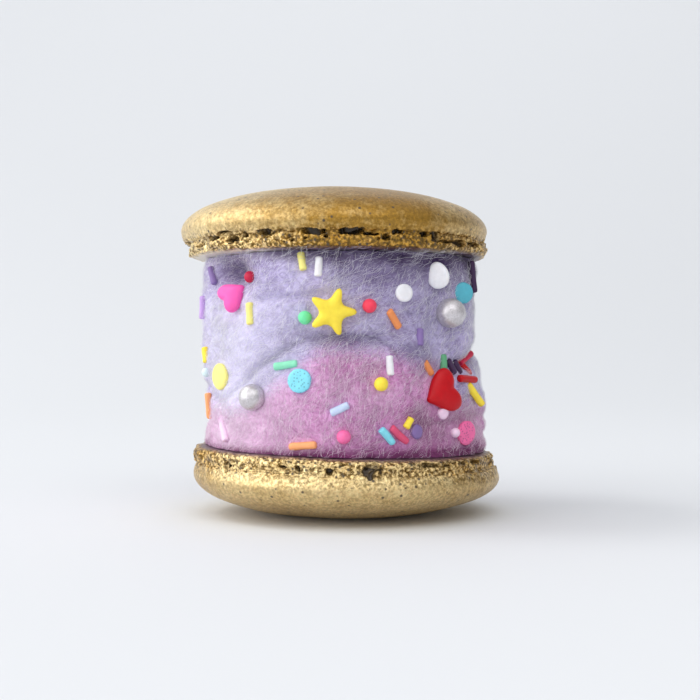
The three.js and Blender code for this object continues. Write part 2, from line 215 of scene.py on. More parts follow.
def lathe_object(name, rings):
    """A closed mesh from rings (rows, columns, 3), shut with a point at each end."""
    rows, columns, _ = rings.shape
    bottom = rings[0].mean(axis=0)
    top = rings[-1].mean(axis=0)
    points = np.concatenate([rings.reshape(-1, 3), [bottom, top]])
    faces = ring_faces(rows, columns)
    last = (rows - 1) * columns
    for j in range(columns):
        after = (j + 1) % columns
        faces.append([rows * columns, after, j])
        faces.append([rows * columns + 1, last + j, last + after])
    return make_object(name, points, faces)


def keep_values(made, name, values):
    """Stores a number for each point of a lathe mesh; the two poles take their ring's mean."""
    flat = np.concatenate([values.ravel(), [values[0].mean(), values[-1].mean()]])
    attribute = made.data.attributes.new(name, "FLOAT", "POINT")
    attribute.data.foreach_set("value", flat.astype(np.float32))


def keep_vectors(made, name, vectors):
    attribute = made.data.attributes.new(name, "FLOAT_VECTOR", "POINT")
    attribute.data.foreach_set("vector", np.asarray(vectors, dtype=np.float32).ravel())


def around(azimuths):
    """Unit vectors pointing out of the axis at each azimuth."""
    a = np.radians(azimuths)
    return np.stack([np.sin(a), -np.cos(a), np.zeros_like(a)], axis=-1)


def unit(vectors):
    return vectors / np.maximum(np.linalg.norm(vectors, axis=-1, keepdims=True), 1e-9)


def grid_normals(rings):
    """Outward normals of a closed grid of rings."""
    round_step = np.roll(rings, -1, axis=1) - np.roll(rings, 1, axis=1)
    up_step = np.gradient(rings, axis=0)
    return unit(np.cross(round_step, up_step))


# %% [markdown]
# ## Materials: one helper and one colour function
# Each material is a small node tree. One function adds a node, sets its properties and links its
# inputs, so that a tree reads from top to bottom. Colours are written the way a paint chart or a
# picture editor gives them, as sRGB hex, and one function turns them into the linear values that
# light is worked out with.

# %% Material helpers
def linear(hex_colour):
    channels = [int(hex_colour[i : i + 2], 16) / 255 for i in (1, 3, 5)]
    return [c / 12.92 if c <= 0.04045 else ((c + 0.055) / 1.055) ** 2.4 for c in channels] + [1.0]


def add(tree, kind, settings=None, inputs=None):
    """Adds a node. inputs maps a socket's name or number to a value, or to a socket to link."""
    node = tree.nodes.new(kind)
    for key, value in (settings or {}).items():
        setattr(node, key, value)
    for key, value in (inputs or {}).items():
        if isinstance(value, bpy.types.NodeSocket):
            tree.links.new(value, node.inputs[key])
        else:
            node.inputs[key].default_value = value
    return node


def new_material(name):
    """A material with one Principled shader, returned with its node tree and that shader."""
    material = bpy.data.materials.new(name)
    material.use_nodes = True
    tree = material.node_tree
    return material, tree, tree.nodes["Principled BSDF"]


# %% [markdown]
# ## What the gold is
# The shells are baked almond meringue brushed with edible gold lustre dust: tiny coated mica flakes
# that lie almost flat. Each flake is a mirror with a tilt of its own, so the eye gets a soft, wide
# highlight that breaks up into sparkle. Between the flakes bits of matt meringue show, fewer where
# the dust lies thick. Pores, pits and cracks are painted dark brown as shade, and the gold is painted
# darker in the dips of its grain and lighter on its bumps. Round spots paint it paler where the light
# falls and deeper in shade. The flat inner face was never dusted: it is cream where lit, and painted
# plum as shade elsewhere. Attributes say where each of these is: hollow, bare, the dust with its
# painted light, the shaded inner face, and sandy where the foot's crumb makes the gold look like
# glued sand.

# %% Gold lustre on meringue
FLAKE = 0.2  # mm: real flakes are 0.03 mm, drawn coarser so that they show
PIT_SPACING = 0.75  # mm


def gold_lustre_on_meringue():
    material, tree, shader = new_material("gold_lustre_on_meringue")
    place = add(tree, "ShaderNodeTexCoord").outputs["Object"]
    hollow, bare, dust_and_light, shaded_inner, sandy = (
        add(tree, "ShaderNodeAttribute", {"attribute_name": name}).outputs["Fac"]
        for name in ("hollow", "bare", "dust_and_light", "shaded_inner", "sandy"))

    # Thick dust is deep gold and thin dust pale, with smudges 2 mm wide where the brush turned; spots of
    # painted light make it paler where the light falls and deeper in shade
    smudge = add(tree, "ShaderNodeTexNoise", {}, {"Vector": place, "Scale": 1 / (2 * MM), "Detail": 4.0})
    thick = add(tree, "ShaderNodeMath", {"operation": "MULTIPLY_ADD"},
                {0: smudge.outputs["Fac"], 1: 0.4, 2: dust_and_light})
    on_foot = add(tree, "ShaderNodeMath", {"operation": "MULTIPLY_ADD"},
                  {0: sandy, 1: 0.22, 2: thick.outputs["Value"]})

    # Painted shade and highlight: darker in the dips of the grain and lighter on its bumps, with the same
    # noise as the bump, a little on the dome and a lot where it is sandy
    grain = add(tree, "ShaderNodeTexNoise", {}, {"Vector": place, "Scale": 1 / (0.5 * MM), "Detail": 4.0})
    grain_shading = add(tree, "ShaderNodeMapRange", {}, {"Value": grain.outputs["Fac"], "From Min": 0.4,
                                               "From Max": 0.6, "To Min": -0.7, "To Max": 0.5})
    contrast = add(tree, "ShaderNodeMath", {"operation": "MULTIPLY_ADD"}, {0: sandy, 1: 0.8, 2: 0.1})
    level = add(tree, "ShaderNodeMath", {"operation": "MULTIPLY_ADD"},
                {0: grain_shading.outputs["Result"], 1: contrast.outputs["Value"], 2: 1.0})
    # The dips are painted a deeper gold as well
    dips_shaded = add(tree, "ShaderNodeMath", {"operation": "MULTIPLY_ADD"},
                  {0: level.outputs["Value"], 1: -0.3, 2: on_foot.outputs["Value"]})
    depth = add(tree, "ShaderNodeMapRange", {},
                {"Value": dips_shaded.outputs["Value"], "From Min": 0.62, "From Max": 1.02})
    gold = add(tree, "ShaderNodeMix", {"data_type": "RGBA"},
               {"Factor": depth.outputs["Result"], "A": linear("#E4CD98"), "B": linear("#A87F2C")})
    gold_painted_light = add(tree, "ShaderNodeVectorMath", {"operation": "SCALE"},
               {0: gold.outputs["Result"], "Scale": level.outputs["Value"]})

    # Every flake is lighter or darker, and tilted its own way
    flakes = add(tree, "ShaderNodeTexVoronoi", {}, {"Vector": place, "Scale": 1 / (FLAKE * MM)})
    grey = add(tree, "ShaderNodeRGBToBW", {}, {"Color": flakes.outputs["Color"]})
    tinted = add(tree, "ShaderNodeMix", {"data_type": "RGBA", "blend_type": "OVERLAY"},
                 {"Factor": 0.25, "A": gold_painted_light.outputs["Vector"], "B": grey.outputs["Val"]})
    # Where a flake's number is above the dusting, meringue shows instead of a flake
    over = add(tree, "ShaderNodeMath", {"operation": "SUBTRACT"}, {0: grey.outputs["Val"], 1: dust_and_light})
    matt = add(tree, "ShaderNodeMapRange", {},
               {"Value": over.outputs["Value"], "From Min": 0.02, "From Max": 0.1})
    flecked = add(tree, "ShaderNodeMix", {"data_type": "RGBA"},
                  {"Factor": matt.outputs["Result"], "A": tinted.outputs["Result"], "B": linear("#E2C488")})
    # Pits open in some cells of a grid, more of them where it is sandy, each a dot of painted shade
    pits = add(tree, "ShaderNodeTexVoronoi", {}, {"Vector": place, "Scale": 1 / (PIT_SPACING * MM)})
    pit = add(tree, "ShaderNodeMapRange", {}, {"Value": pits.outputs["Distance"], "From Min": 0.2,
                                               "From Max": 0.38, "To Min": 0.92, "To Max": 0.0})
    pick = add(tree, "ShaderNodeRGBToBW", {}, {"Color": pits.outputs["Color"]})
    chance = add(tree, "ShaderNodeMath", {"operation": "MULTIPLY_ADD"},
                 {0: sandy, 1: 0.3, 2: pick.outputs["Val"]})
    open_here = add(tree, "ShaderNodeMath", {"operation": "GREATER_THAN"},
                    {0: chance.outputs["Value"], 1: 0.85})
    shaded_pit = add(tree, "ShaderNodeMath", {"operation": "MULTIPLY"},
                   {0: pit.outputs["Result"], 1: open_here.outputs["Value"]})
    # Pores, cracks and pits are painted dark brown as shade
    dark = add(tree, "ShaderNodeMath", {"operation": "MAXIMUM"}, {0: hollow, 1: shaded_pit.outputs["Value"]})
    hollow_shade = add(tree, "ShaderNodeMix", {"data_type": "RGBA"},
                {"Factor": dark.outputs["Value"], "A": flecked.outputs["Result"], "B": linear("#3A2A10")})
    # The inner face: cream where it is lit, painted plum as shade elsewhere
    inner = add(tree, "ShaderNodeMix", {"data_type": "RGBA"},
                {"Factor": shaded_inner, "A": linear("#E2D9C6"), "B": linear("#4A3048")})
    coloured = add(tree, "ShaderNodeMix", {"data_type": "RGBA"},
                   {"Factor": bare, "A": hollow_shade.outputs["Result"], "B": inner.outputs["Result"]})
    tree.links.new(coloured.outputs["Result"], shader.inputs["Base Color"])

    rough_crumb = add(tree, "ShaderNodeMath", {"operation": "MAXIMUM"}, {0: dark.outputs["Value"], 1: bare})
    undusted = add(tree, "ShaderNodeMath", {"operation": "MAXIMUM"},
                   {0: rough_crumb.outputs["Value"], 1: matt.outputs["Result"]})
    metal = add(tree, "ShaderNodeMapRange", {},
                {"Value": undusted.outputs["Value"], "To Min": 1.0, "To Max": 0.0})
    tree.links.new(metal.outputs["Result"], shader.inputs["Metallic"])
    polish = add(tree, "ShaderNodeMapRange", {},
                 {"Value": grey.outputs["Val"], "To Min": 0.42, "To Max": 0.56})
    tree.links.new(polish.outputs["Result"], shader.inputs["Roughness"])
    shader.inputs["Coat Weight"].default_value = 0.5
    shader.inputs["Coat Roughness"].default_value = 0.34

    relief = add(tree, "ShaderNodeMath", {"operation": "MULTIPLY_ADD"}, {0: sandy, 1: 0.6, 2: 0.3})
    bump = add(tree, "ShaderNodeBump", {}, {"Strength": relief.outputs["Value"], "Distance": 0.12 * MM,
                                            "Height": grain.outputs["Fac"]})
    centred = add(tree, "ShaderNodeVectorMath", {"operation": "SUBTRACT"},
                  {0: flakes.outputs["Color"], 1: (0.5, 0.5, 0.5)})
    tilt = add(tree, "ShaderNodeVectorMath", {"operation": "MULTIPLY_ADD"},
               {0: centred.outputs["Vector"], 1: (0.26, 0.26, 0.26), 2: bump.outputs["Normal"]})
    facing = add(tree, "ShaderNodeVectorMath", {"operation": "NORMALIZE"}, {0: tilt.outputs["Vector"]})
    tree.links.new(facing.outputs["Vector"], shader.inputs["Normal"])
    return material


GOLD = gold_lustre_on_meringue()
print("the gold takes", len(GOLD.node_tree.nodes), "nodes")


# %% [markdown]
# ## The shells
# A macaron shell rises in the oven: its skin sets first, then lifts on a frilly foot that boils out
# under it. So each shell has a smooth dome, a lip where the skin ends, torn cracks under the lip and
# a foot full of burst bubbles. A plain lathe gives the section. The foot is then pushed in and out
# along the surface's normal by lumps and pores, which no bevel or texture could do as truly. Points
# lie 0.15 mm apart on the foot and lip, where the pores are, and wider on the smooth dome.

# %% Section of a shell
SHELL_COLUMNS = 960
SECTION_COLUMNS = {"r": 0, "z": 1, "rough": 2, "gap": 3, "bare": 4}

# Stretches of the section from the axis out, up the foot and over the dome, with points on each
SECTION_POINTS = {"face": 7, "foot": 30, "groove": 13, "lip": 34, "dome": 15}
LIP_LENGTH = 6.5


def shell_section(height, flat):
    """Rows of a shell's section, lying on its inner face: radius, height, foot, crack and bare shares."""
    corners = np.array([
        (0.5, 0, 0, 0, 1),
        (INNER_FACE_RADIUS, 0, 0.3, 0, 1),
        (FOOT_RADIUS - 0.35, 0.3, 1, 0.3, 0),
        (FOOT_RADIUS, 1.0, 1, 1, 0),
        (FOOT_RADIUS - 0.1, FOOT_HEIGHT - 0.5, 1, 1, 0),
        (FOOT_RADIUS - 0.2, FOOT_HEIGHT, 0.9, 1, 0),
        (FOOT_RADIUS + 0.1, FOOT_HEIGHT + 0.45, 0.6, 1, 0),
        (SHELL_RADIUS - 0.35, FOOT_HEIGHT + 0.7, 0.35, 1, 0),
    ])
    power = 2 / DOME_ROUNDNESS
    last = math.acos((flat / SHELL_RADIUS) ** (1 / power))
    angles = np.linspace(0, last, 80)
    rise = (np.sin(angles) / math.sin(last)) ** power
    radii = SHELL_RADIUS * np.cos(angles) ** power
    heights = WIDEST_HEIGHT + (height - WIDEST_HEIGHT) * rise
    dome = np.stack([radii, heights, 0 * angles, 0 * angles, 0 * angles], axis=-1)
    line = np.concatenate([corners, dome, [(0.5, height, 0, 0, 0)]])
    travelled = np.concatenate([[0], np.cumsum(np.hypot(*np.diff(line[:, :2], axis=0).T))])
    ends = [0, travelled[1], travelled[5] - 0.4, travelled[7], travelled[7] + LIP_LENGTH, travelled[-1]]
    stretches = zip(ends, ends[1:], SECTION_POINTS.values())
    stations = [np.linspace(a, b, count, endpoint=False) for a, b, count in stretches]
    stations = np.concatenate(stations + [[travelled[-1]]])
    rows = np.stack([np.interp(stations, travelled, line[:, i]) for i in range(5)], axis=-1)
    for _ in range(3):  # rounds the corners of the polygon
        rows[1:-1] = (rows[:-2] + 2 * rows[1:-1] + rows[2:]) / 4
    return rows


# %% [markdown]
# ## Cracks and pits
# Where the skin let go of the foot there is a row of dark gaps, each with a start, an end, a height
# and a width of its own. The front ones were read off the photograph and the others continue them.
# The upper shell tore open wide. The lower one hardly did, but has one big burst bubble in front.
# Beside its cracks, each shell has spots where the gold is painted paler as light or deeper as shade.

# %% Where the shells are cracked
# Ruffle and crack depth are in mm. Grain top is how far up from the inner face the crumb is coarse.
# Pinholes is the share of places with one. Glitter is how sandy the gold looks on the smooth dome, and
# the next value how much of the inner face, on the lit left, is kept free of painted shade
UPPER = {"phase": 2.9, "foot_shift": 0.7, "flat": 5.0, "ruffle": 0.42, "crack_depth": 1.5,
         "grain_top": 3.1, "pinholes": 0.16, "glitter": 0.16, "unshaded": 2.0,
         # azimuth, half-width in mm, how much deeper the gold is painted, below 0 paler: painted light and
         # shade
         "gold_painted_light": [(-72, 17, -0.1), (24, 17, 0.32)],
         # from azimuth, to azimuth, height above the inner face, width
         "cracks": [
             (-67, -57, 1.6, 0.9), (-53, -46, 2.2, 0.5), (-45, -39, 2.7, 0.5), (-42, -36.5, 1.9, 0.6),
             (-34.5, -31.5, 2.2, 0.7), (-27.3, -20.7, 2.5, 0.8), (-19.3, -17.3, 2.5, 0.45),
             (-15, -13, 1.4, 0.5), (-11.2, -2.6, 2.4, 0.9), (-10, -8, 1.5, 0.5), (-2.6, -1.2, 1.7, 0.5),
             (2.7, 11.6, 2.4, 0.95), (10.5, 15.9, 2.1, 0.5), (15.5, 20.5, 1.7, 1.4),
             (20.8, 25.7, 2.5, 0.8), (31.7, 35.8, 2.2, 0.9), (36.4, 41.5, 2.0, 1.5), (40, 50, 1.6, 0.8),
             (49, 56, 1.5, 1.1), (55, 66, 1.6, 0.9), (78, 90, 2.3, 0.9), (101, 112, 2.4, 0.9),
             (119, 123, 1.6, 0.8), (131, 149, 2.4, 1.0), (156, 170, 2.3, 0.9), (176, 180, 1.7, 0.9),
             (190, 209, 2.4, 1.0), (217, 226, 2.3, 0.9), (236, 240, 1.8, 0.8), (246, 262, 2.4, 0.9),
             (272, 283, 2.2, 0.9)]}
LOWER = {"phase": 0.8, "foot_shift": -0.5, "flat": 9.5, "ruffle": 0.36, "crack_depth": 1.1,
         "grain_top": 4.2, "pinholes": 0.3, "glitter": 0.15, "unshaded": 0.5,
         "gold_painted_light": [(-62, 14, 0.12), (-2, 23, -0.1), (56, 16, 0.16)],
         "cracks": [
             (-49.5, -45, 2.0, 0.9), (-24, -21, 1.5, 0.5), (-18.2, -16, 1.7, 1.1), (-7, -4.2, 1.9, 1.0),
             (-2, 0.5, 0.7, 0.4), (5.6, 12.8, 1.45, 2.4), (28, 36.5, 0.8, 1.0), (37, 41, 0.9, 0.6),
             (41.5, 44, 0.5, 0.6), (46, 51, 0.7, 1.0), (54, 60, 0.8, 0.8), (80, 95, 1.2, 0.8),
             (119, 127, 1.4, 1.2), (150, 172, 1.1, 0.8), (199, 206, 1.3, 1.3), (225, 243, 1.2, 0.8),
             (262, 271, 1.3, 0.9)]}
print(len(UPPER["cracks"]), "cracks in the upper shell,", len(LOWER["cracks"]), "in the lower one")


def frill(azimuth, z, phase):
    """The foot's slow bulges and dips, from -1 to 1."""
    a = np.radians(azimuth)
    return (0.34 * np.sin(9 * a + phase) + 0.3 * np.sin(16 * a + 2.1 * phase + 1.4 * z)
            + 0.24 * np.sin(27 * a - 1.3 * phase - 2.0 * z) + 0.12 * np.sin(5 * a + 0.7 * phase))


def crack_opening(azimuth, z, cracks, torn):
    """1 in a crack and 0 outside it; torn shifts its edge in and out."""
    deepest = 0 * torn
    for start, end, height, width in cracks:
        across = degrees_between(azimuth, (start + end) / 2) / ((end - start) / 2)
        up = (z - height) / (width / 2)
        inside = 1 - np.abs(across) ** 3 - up * up + torn
        deepest = np.maximum(deepest, smoothstep(inside, 0.0, 0.55))
    return deepest


# %% Rings of a shell
# Spots of painted light and painted shade on the gold lie round places this far out
LIGHT_SPOT_RADIUS = 30  # thick and thin places lie round spots this far out


def shell_rings(section, style, seed):
    """Rings of a shell lying dome up, and what its material needs to know at each point."""
    azimuth = np.arange(SHELL_COLUMNS) / SHELL_COLUMNS * 360
    r, z, rough, gap, bare = (section[:, i][:, None] for i in SECTION_COLUMNS.values())
    foot = (r > 0.6) & (z < FOOT_HEIGHT + 0.1)
    radius = r + rough * style["ruffle"] * frill(azimuth, z, style["phase"])
    radius = radius + foot * style["foot_shift"] * np.sin(np.radians(azimuth))
    rings = radius[..., None] * around(azimuth) + np.array((0, 0, 1)) * (z + 0 * radius)[..., None]

    torn = 1.2 * crumbs(rings, 0.9, seed + 20)
    opening = gap * crack_opening(azimuth, z, style["cracks"], torn)
    edge = smoothstep(z, style["grain_top"] + 1.6, style["grain_top"] - 1.2) * (1 - bare)
    grainy = edge * smoothstep(lumps(rings, 4.0, seed + 30) + 2.2 * edge, 0.2, 1.6)
    foot_share = np.maximum(rough, 0.55 * grainy)
    coarse = crumbs(rings, 1.3, seed)
    fine = crumbs(rings, 0.5, seed + 7)
    big_pores = pores(rings, 1.15, (0.35, 1.0), 0.7, seed + 11)
    small_pores = pores(rings, 0.55, (0.16, 0.42), 0.55, seed + 12)
    pinholes = pores(rings, 1.7, (0.2, 0.45), style["pinholes"], seed + 13)
    push = (rough * (0.25 * coarse - 0.5 * big_pores)
            + foot_share * (0.2 * (fine - 0.6) - 0.3 * small_pores)
            - (1 - foot_share) * 0.2 * pinholes
            + 0.06 * lumps(rings, 6.0, seed + 14)
            - style["crack_depth"] * opening)
    # Where the surface is hollow, the material paints it dark as shade
    dips = rough * 0.7 * big_pores + foot_share * (0.75 * small_pores + 0.8 * smoothstep(-fine, 0.2, 0.8))
    hollow = np.clip(dips + 1.1 * opening + (1 - foot_share) * 0.95 * pinholes - 0.1, 0, 1)
    dust_and_light = 0.82 + 0.1 * lumps(rings, 9.0, seed + 40) - 0.1 * grainy
    # Painted light: round spots where the gold is paler on the lit side or deeper in shade
    for at, half_width, more in style["gold_painted_light"]:
        from_spot = np.linalg.norm((rings - LIGHT_SPOT_RADIUS * around(at))[..., :2], axis=-1)
        dust_and_light = dust_and_light + more * bell(from_spot / half_width + 0.2 * lumps(rings, 9.0, seed + 42))
    # Painted shade on the inner face, kept off the lit left
    unshaded = style["unshaded"] * bell(degrees_between(azimuth, -88) / 34)
    shaded_inner = smoothstep(lumps(rings, 14.0, seed + 41) - unshaded, -0.9, -0.5)
    rings = rings + grid_normals(rings) * push[..., None]
    return rings, {"hollow": hollow * (1 - bare), "bare": bare + 0 * hollow, "dust_and_light": dust_and_light,
                   "shaded_inner": shaded_inner, "sandy": np.maximum(foot_share, style["glitter"])}


# %% Build both shells
def shell_object(name, node, rings, shares):
    made = lathe_object(name, rings)
    for label, values in shares.items():
        keep_values(made, label, values)
    made.data.materials.append(GOLD)
    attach(made, "root")
    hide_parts(node)
    print(name, len(made.data.polygons), "faces")


rings, shares = shell_rings(shell_section(UPPER_HEIGHT, UPPER["flat"]), UPPER, 100)
rings = rings + np.array((UPPER_OFFSET, 0, UPPER_BASE))
shell_object("upper_shell_gold", "upper_shell", rings, shares)

rings, shares = shell_rings(shell_section(LOWER_HEIGHT, LOWER["flat"]), LOWER, 500)
turned_over = rings[::-1] * np.array((1, 1, -1)) + np.array((LOWER_OFFSET, 0, LOWER_HEIGHT))
turned_over[..., 2] *= 1 - LOWER_SLOPE * (turned_over[..., 0] - LOWER_OFFSET) / SHELL_RADIUS
shell_object("lower_shell_gold", "lower_shell", turned_over, {label: s[::-1] for label, s in shares.items()})


# %% [markdown]
# ## The shape of the floss
# Candy floss is a cloud of strands that keeps the shape of the hand that tore it: puffs, creases and
# hollows a few millimetres deep, and a furrow where the lavender wad lies over the pink. The same
# puffs and the same seam as in the CAD solid are used here, listed by azimuth and height, so the
# detailed surface keeps the solid's form.

# %% Seam and puffs
SEAM = np.array([
    (-90, 20.8), (-58, 18.5), (-42, 21.5), (-28, 24.8), (-15, 27.6), (3, 28.2), (20, 26.8), (27, 21.0),
    (33, 15.9), (45, 15.5), (58, 16.0), (75, 16.2), (95, 15.8), (125, 21.0), (165, 26.5), (195, 24.0),
    (228, 19.0),
])

PUFFS = [  # azimuth, height, half-width in degrees, half-height, rise
    (-88, 32, 30, 6, 0.4),
    (-85, 16, 25, 4, -0.8),
    (-36, 28, 13, 5, 0.9),
    (-27, 37.5, 12, 2.6, 0.6),
    (-20, 34.2, 16, 0.8, -0.6),
    (-48, 38, 9, 2.4, -3.2),
    (-14, 28.8, 7, 2, -0.7),
    (-2, 33, 26, 4, 0.6),
    (24, 29, 10, 1.5, -0.7),
    (5, 20, 30, 6, 1.1),
    (40, 30, 5, 8, -1.4),
    (35, 16, 5, 5, -0.8),
    (58, 24.2, 12, 1.4, -1.0),
    (62, 31, 12, 4.5, 0.7),
    (88, 33, 25, 7, -0.7),
    (86, 26.4, 16, 1.3, -1.3),
    (80, 17, 24, 6, 1.3),
    (85, 11, 30, 1.5, 0.9),
    (110, 20, 10, 3, -0.7),
    (125, 33, 22, 5, 0.7),
    (150, 20, 24, 5, 0.8),
    (165, 28, 14, 1.2, -1.0),
    (190, 35, 20, 4, 0.6),
    (205, 18, 26, 5, 0.5),
    (222, 25, 12, 1.4, -0.9),
    (235, 31, 20, 5, 0.5),
    (255, 22, 8, 3, -0.6),
]


# The colours don't change at the seam itself: pink shows a little below it in front, and above it on
# the right, where one handful was dyed in both
DYE_EDGE = np.array([
    (-90, 17.5), (-62, 17.3), (-41, 17.6), (-30, 19.8), (-21, 22.0), (-14, 24.2), (-9, 25.6), (-3, 26.2),
    (2, 26.1), (10, 26.0), (18, 25.6), (27, 24.5), (34, 23.7), (42, 23.5), (50, 19.5), (60, 18.3),
    (70, 18.2), (80, 17.5), (95, 16.8), (125, 20.5), (165, 25.6), (195, 23.2), (228, 18.6),
])

# Places where shade is painted on the floss: hollows, the seam's furrow, under the upper shell and on the
# right
SHADED_PLACES = [  # azimuth, height, half-width in degrees, half-height, share
    (-51, 38.2, 14, 3.2, 0.55),
    (-15, 29.4, 5, 2.0, 0.25),
    (-21, 27.0, 5, 2.2, 0.3),
    (-27, 24.4, 5, 2.0, 0.25),
    (6, 27.8, 20, 1.5, 0.6),
    (30, 26.2, 12, 1.8, 0.55),
    (36, 24.2, 8, 1.6, 0.5),
    (14, 38.0, 14, 3.4, 0.7),
    (36, 39.5, 14, 2.6, 0.4),
    (62, 24.3, 14, 1.2, 0.5),
    (36, 14.4, 24, 4.0, 0.6),
    (3, 22.0, 12, 4.0, 0.18),
    (26, 33.0, 26, 7.0, 0.25),
]


def height_along(curve, azimuth):
    """Height of a closed curve at each azimuth: smooth through its points, going round."""
    at = np.concatenate([curve[-2:, 0] - 360, curve[:, 0], curve[:3, 0] + 360])
    height = np.concatenate([curve[-2:, 1], curve[:, 1], curve[:3, 1]])
    slope = np.gradient(height, at)
    slope[1:-1] = (height[2:] - height[:-2]) / (at[2:] - at[:-2])
    a = (np.asarray(azimuth, dtype=float) - curve[0, 0]) % 360 + curve[0, 0]
    i = np.searchsorted(at, a, side="right") - 1
    span = at[i + 1] - at[i]
    t = (a - at[i]) / span
    eased = t * t * (3 - 2 * t)
    pull = slope[i] * (1 - t) - slope[i + 1] * t
    return height[i] + (height[i + 1] - height[i]) * eased + t * (1 - t) * pull * span


def seam_height(azimuth):
    return height_along(SEAM, azimuth)


def lower_shell_top(x):
    return LOWER_HEIGHT * (1 - LOWER_SLOPE * (x - LOWER_OFFSET) / SHELL_RADIUS)


def floss_bottom(azimuth):
    return lower_shell_top(FLOSS_RADIUS * np.sin(np.radians(azimuth)))


def near_place(azimuth, z, at, height, half_width, half_height):
    """1 at a place on the wall, falling off round it."""
    return bell(degrees_between(azimuth, at) / half_width) * bell((z - height) / half_height)


def floss_radius(azimuth, z):
    r = FLOSS_RADIUS + 0 * azimuth * z
    for *place, rise in PUFFS:
        r = r + rise * near_place(azimuth, z, *place)
    steep = bell(degrees_between(azimuth, 29) / 6)  # where the seam drops, a groove would read as a cut
    r = r - SEAM_GROOVE * (1 - steep) * bell((z - seam_height(azimuth)) / SEAM_GROOVE_HEIGHT)
    r = r - EDGE_TUCK * bell((z - FLOSS_TOP) / EDGE_TUCK_HEIGHT)
    a = np.radians(azimuth)
    return r + 0.12 * np.sin(9 * a + 0.8 * z) + 0.08 * np.sin(17 * a - 1.1 * z)


def floss_point(azimuth, z):
    azimuth = np.asarray(azimuth, dtype=float)
    z = np.asarray(z, dtype=float)
    return floss_radius(azimuth, z)[..., None] * around(azimuth) + np.array((0, 0, 1)) * z[..., None]


def lavender_share(azimuth, z):
    """0 where the floss is pink, 1 where it is lavender, with a soft change between them."""
    return smoothstep(z - height_along(DYE_EDGE, azimuth), -2.2, 2.2)


def painted_shade_at(azimuth, z):
    """How much shade is painted on the floss, from 0 to 1: along the shells, in the seam, in hollows and on
    the shaded right.
    """
    painted_shade = 0 * azimuth * z
    for *place, share in SHADED_PLACES:
        painted_shade = np.maximum(painted_shade, share * near_place(azimuth, z, *place))
    # A band of painted shade along each shell, hardly there on the lit left and wide on the shaded right
    lit_side = bell(degrees_between(azimuth, -64) / 46)
    to_right = smoothstep(np.abs(degrees_between(azimuth, 96)), 116, 84)
    painted_shade = np.maximum(painted_shade, (1 - 0.95 * lit_side) * bell((FLOSS_TOP + 0.4 - z) / (1.6 + 3.6 * to_right)))
    # And a band of painted shade just above the lower shell, wider on the right
    lower_band = 0.8 + 1.2 * to_right
    painted_shade = np.maximum(painted_shade, (1 - 0.3 * lit_side) * bell((z - floss_bottom(azimuth)) / lower_band))
    blotches = 1.05 + 0.5 * crumbs(floss_point(azimuth, z), 3.0, 61)
    return np.clip(painted_shade * blotches, 0, 1)


def painted_left_light(azimuth, z):
    """How much light is painted on the floss, from 0 to 1: most on the lit left, none up under the upper
    shell.
    """
    return 0.75 * bell(degrees_between(azimuth, -50) / 35) * smoothstep(z, 38, 32)


heights = floss_radius(np.arange(0.0, 360.0), 30.0 + np.zeros(360))
print("floss radius at mid height:", round(heights.min(), 1), "to", round(heights.max(), 1), "mm")


# %% [markdown]
# ## What the floss is made of
# Molten sugar spun through a hot sieve sets as glassy threads a few hundredths of a millimetre
# thick. A thick wad scatters light again and again, so it looks matt and soft and glows a little at
# its edges. The wad's inside is drawn as one surface that lets light in a millimetre or so. Noise
# folded back on itself many times gives curly contour lines, which read as pale threads, and the
# gaps between them are painted darker as shade. Real threads will lie over it. Along the shells, in
# the seam's furrow, in hollows and on the shaded right, the wad is painted dark plum as shade, and on
# the lit left it is painted paler as light. Attributes say how much.

# %% Floss wad material
THREAD_SPACING = 0.28  # mm between drawn threads: real ones lie closer than the render can show


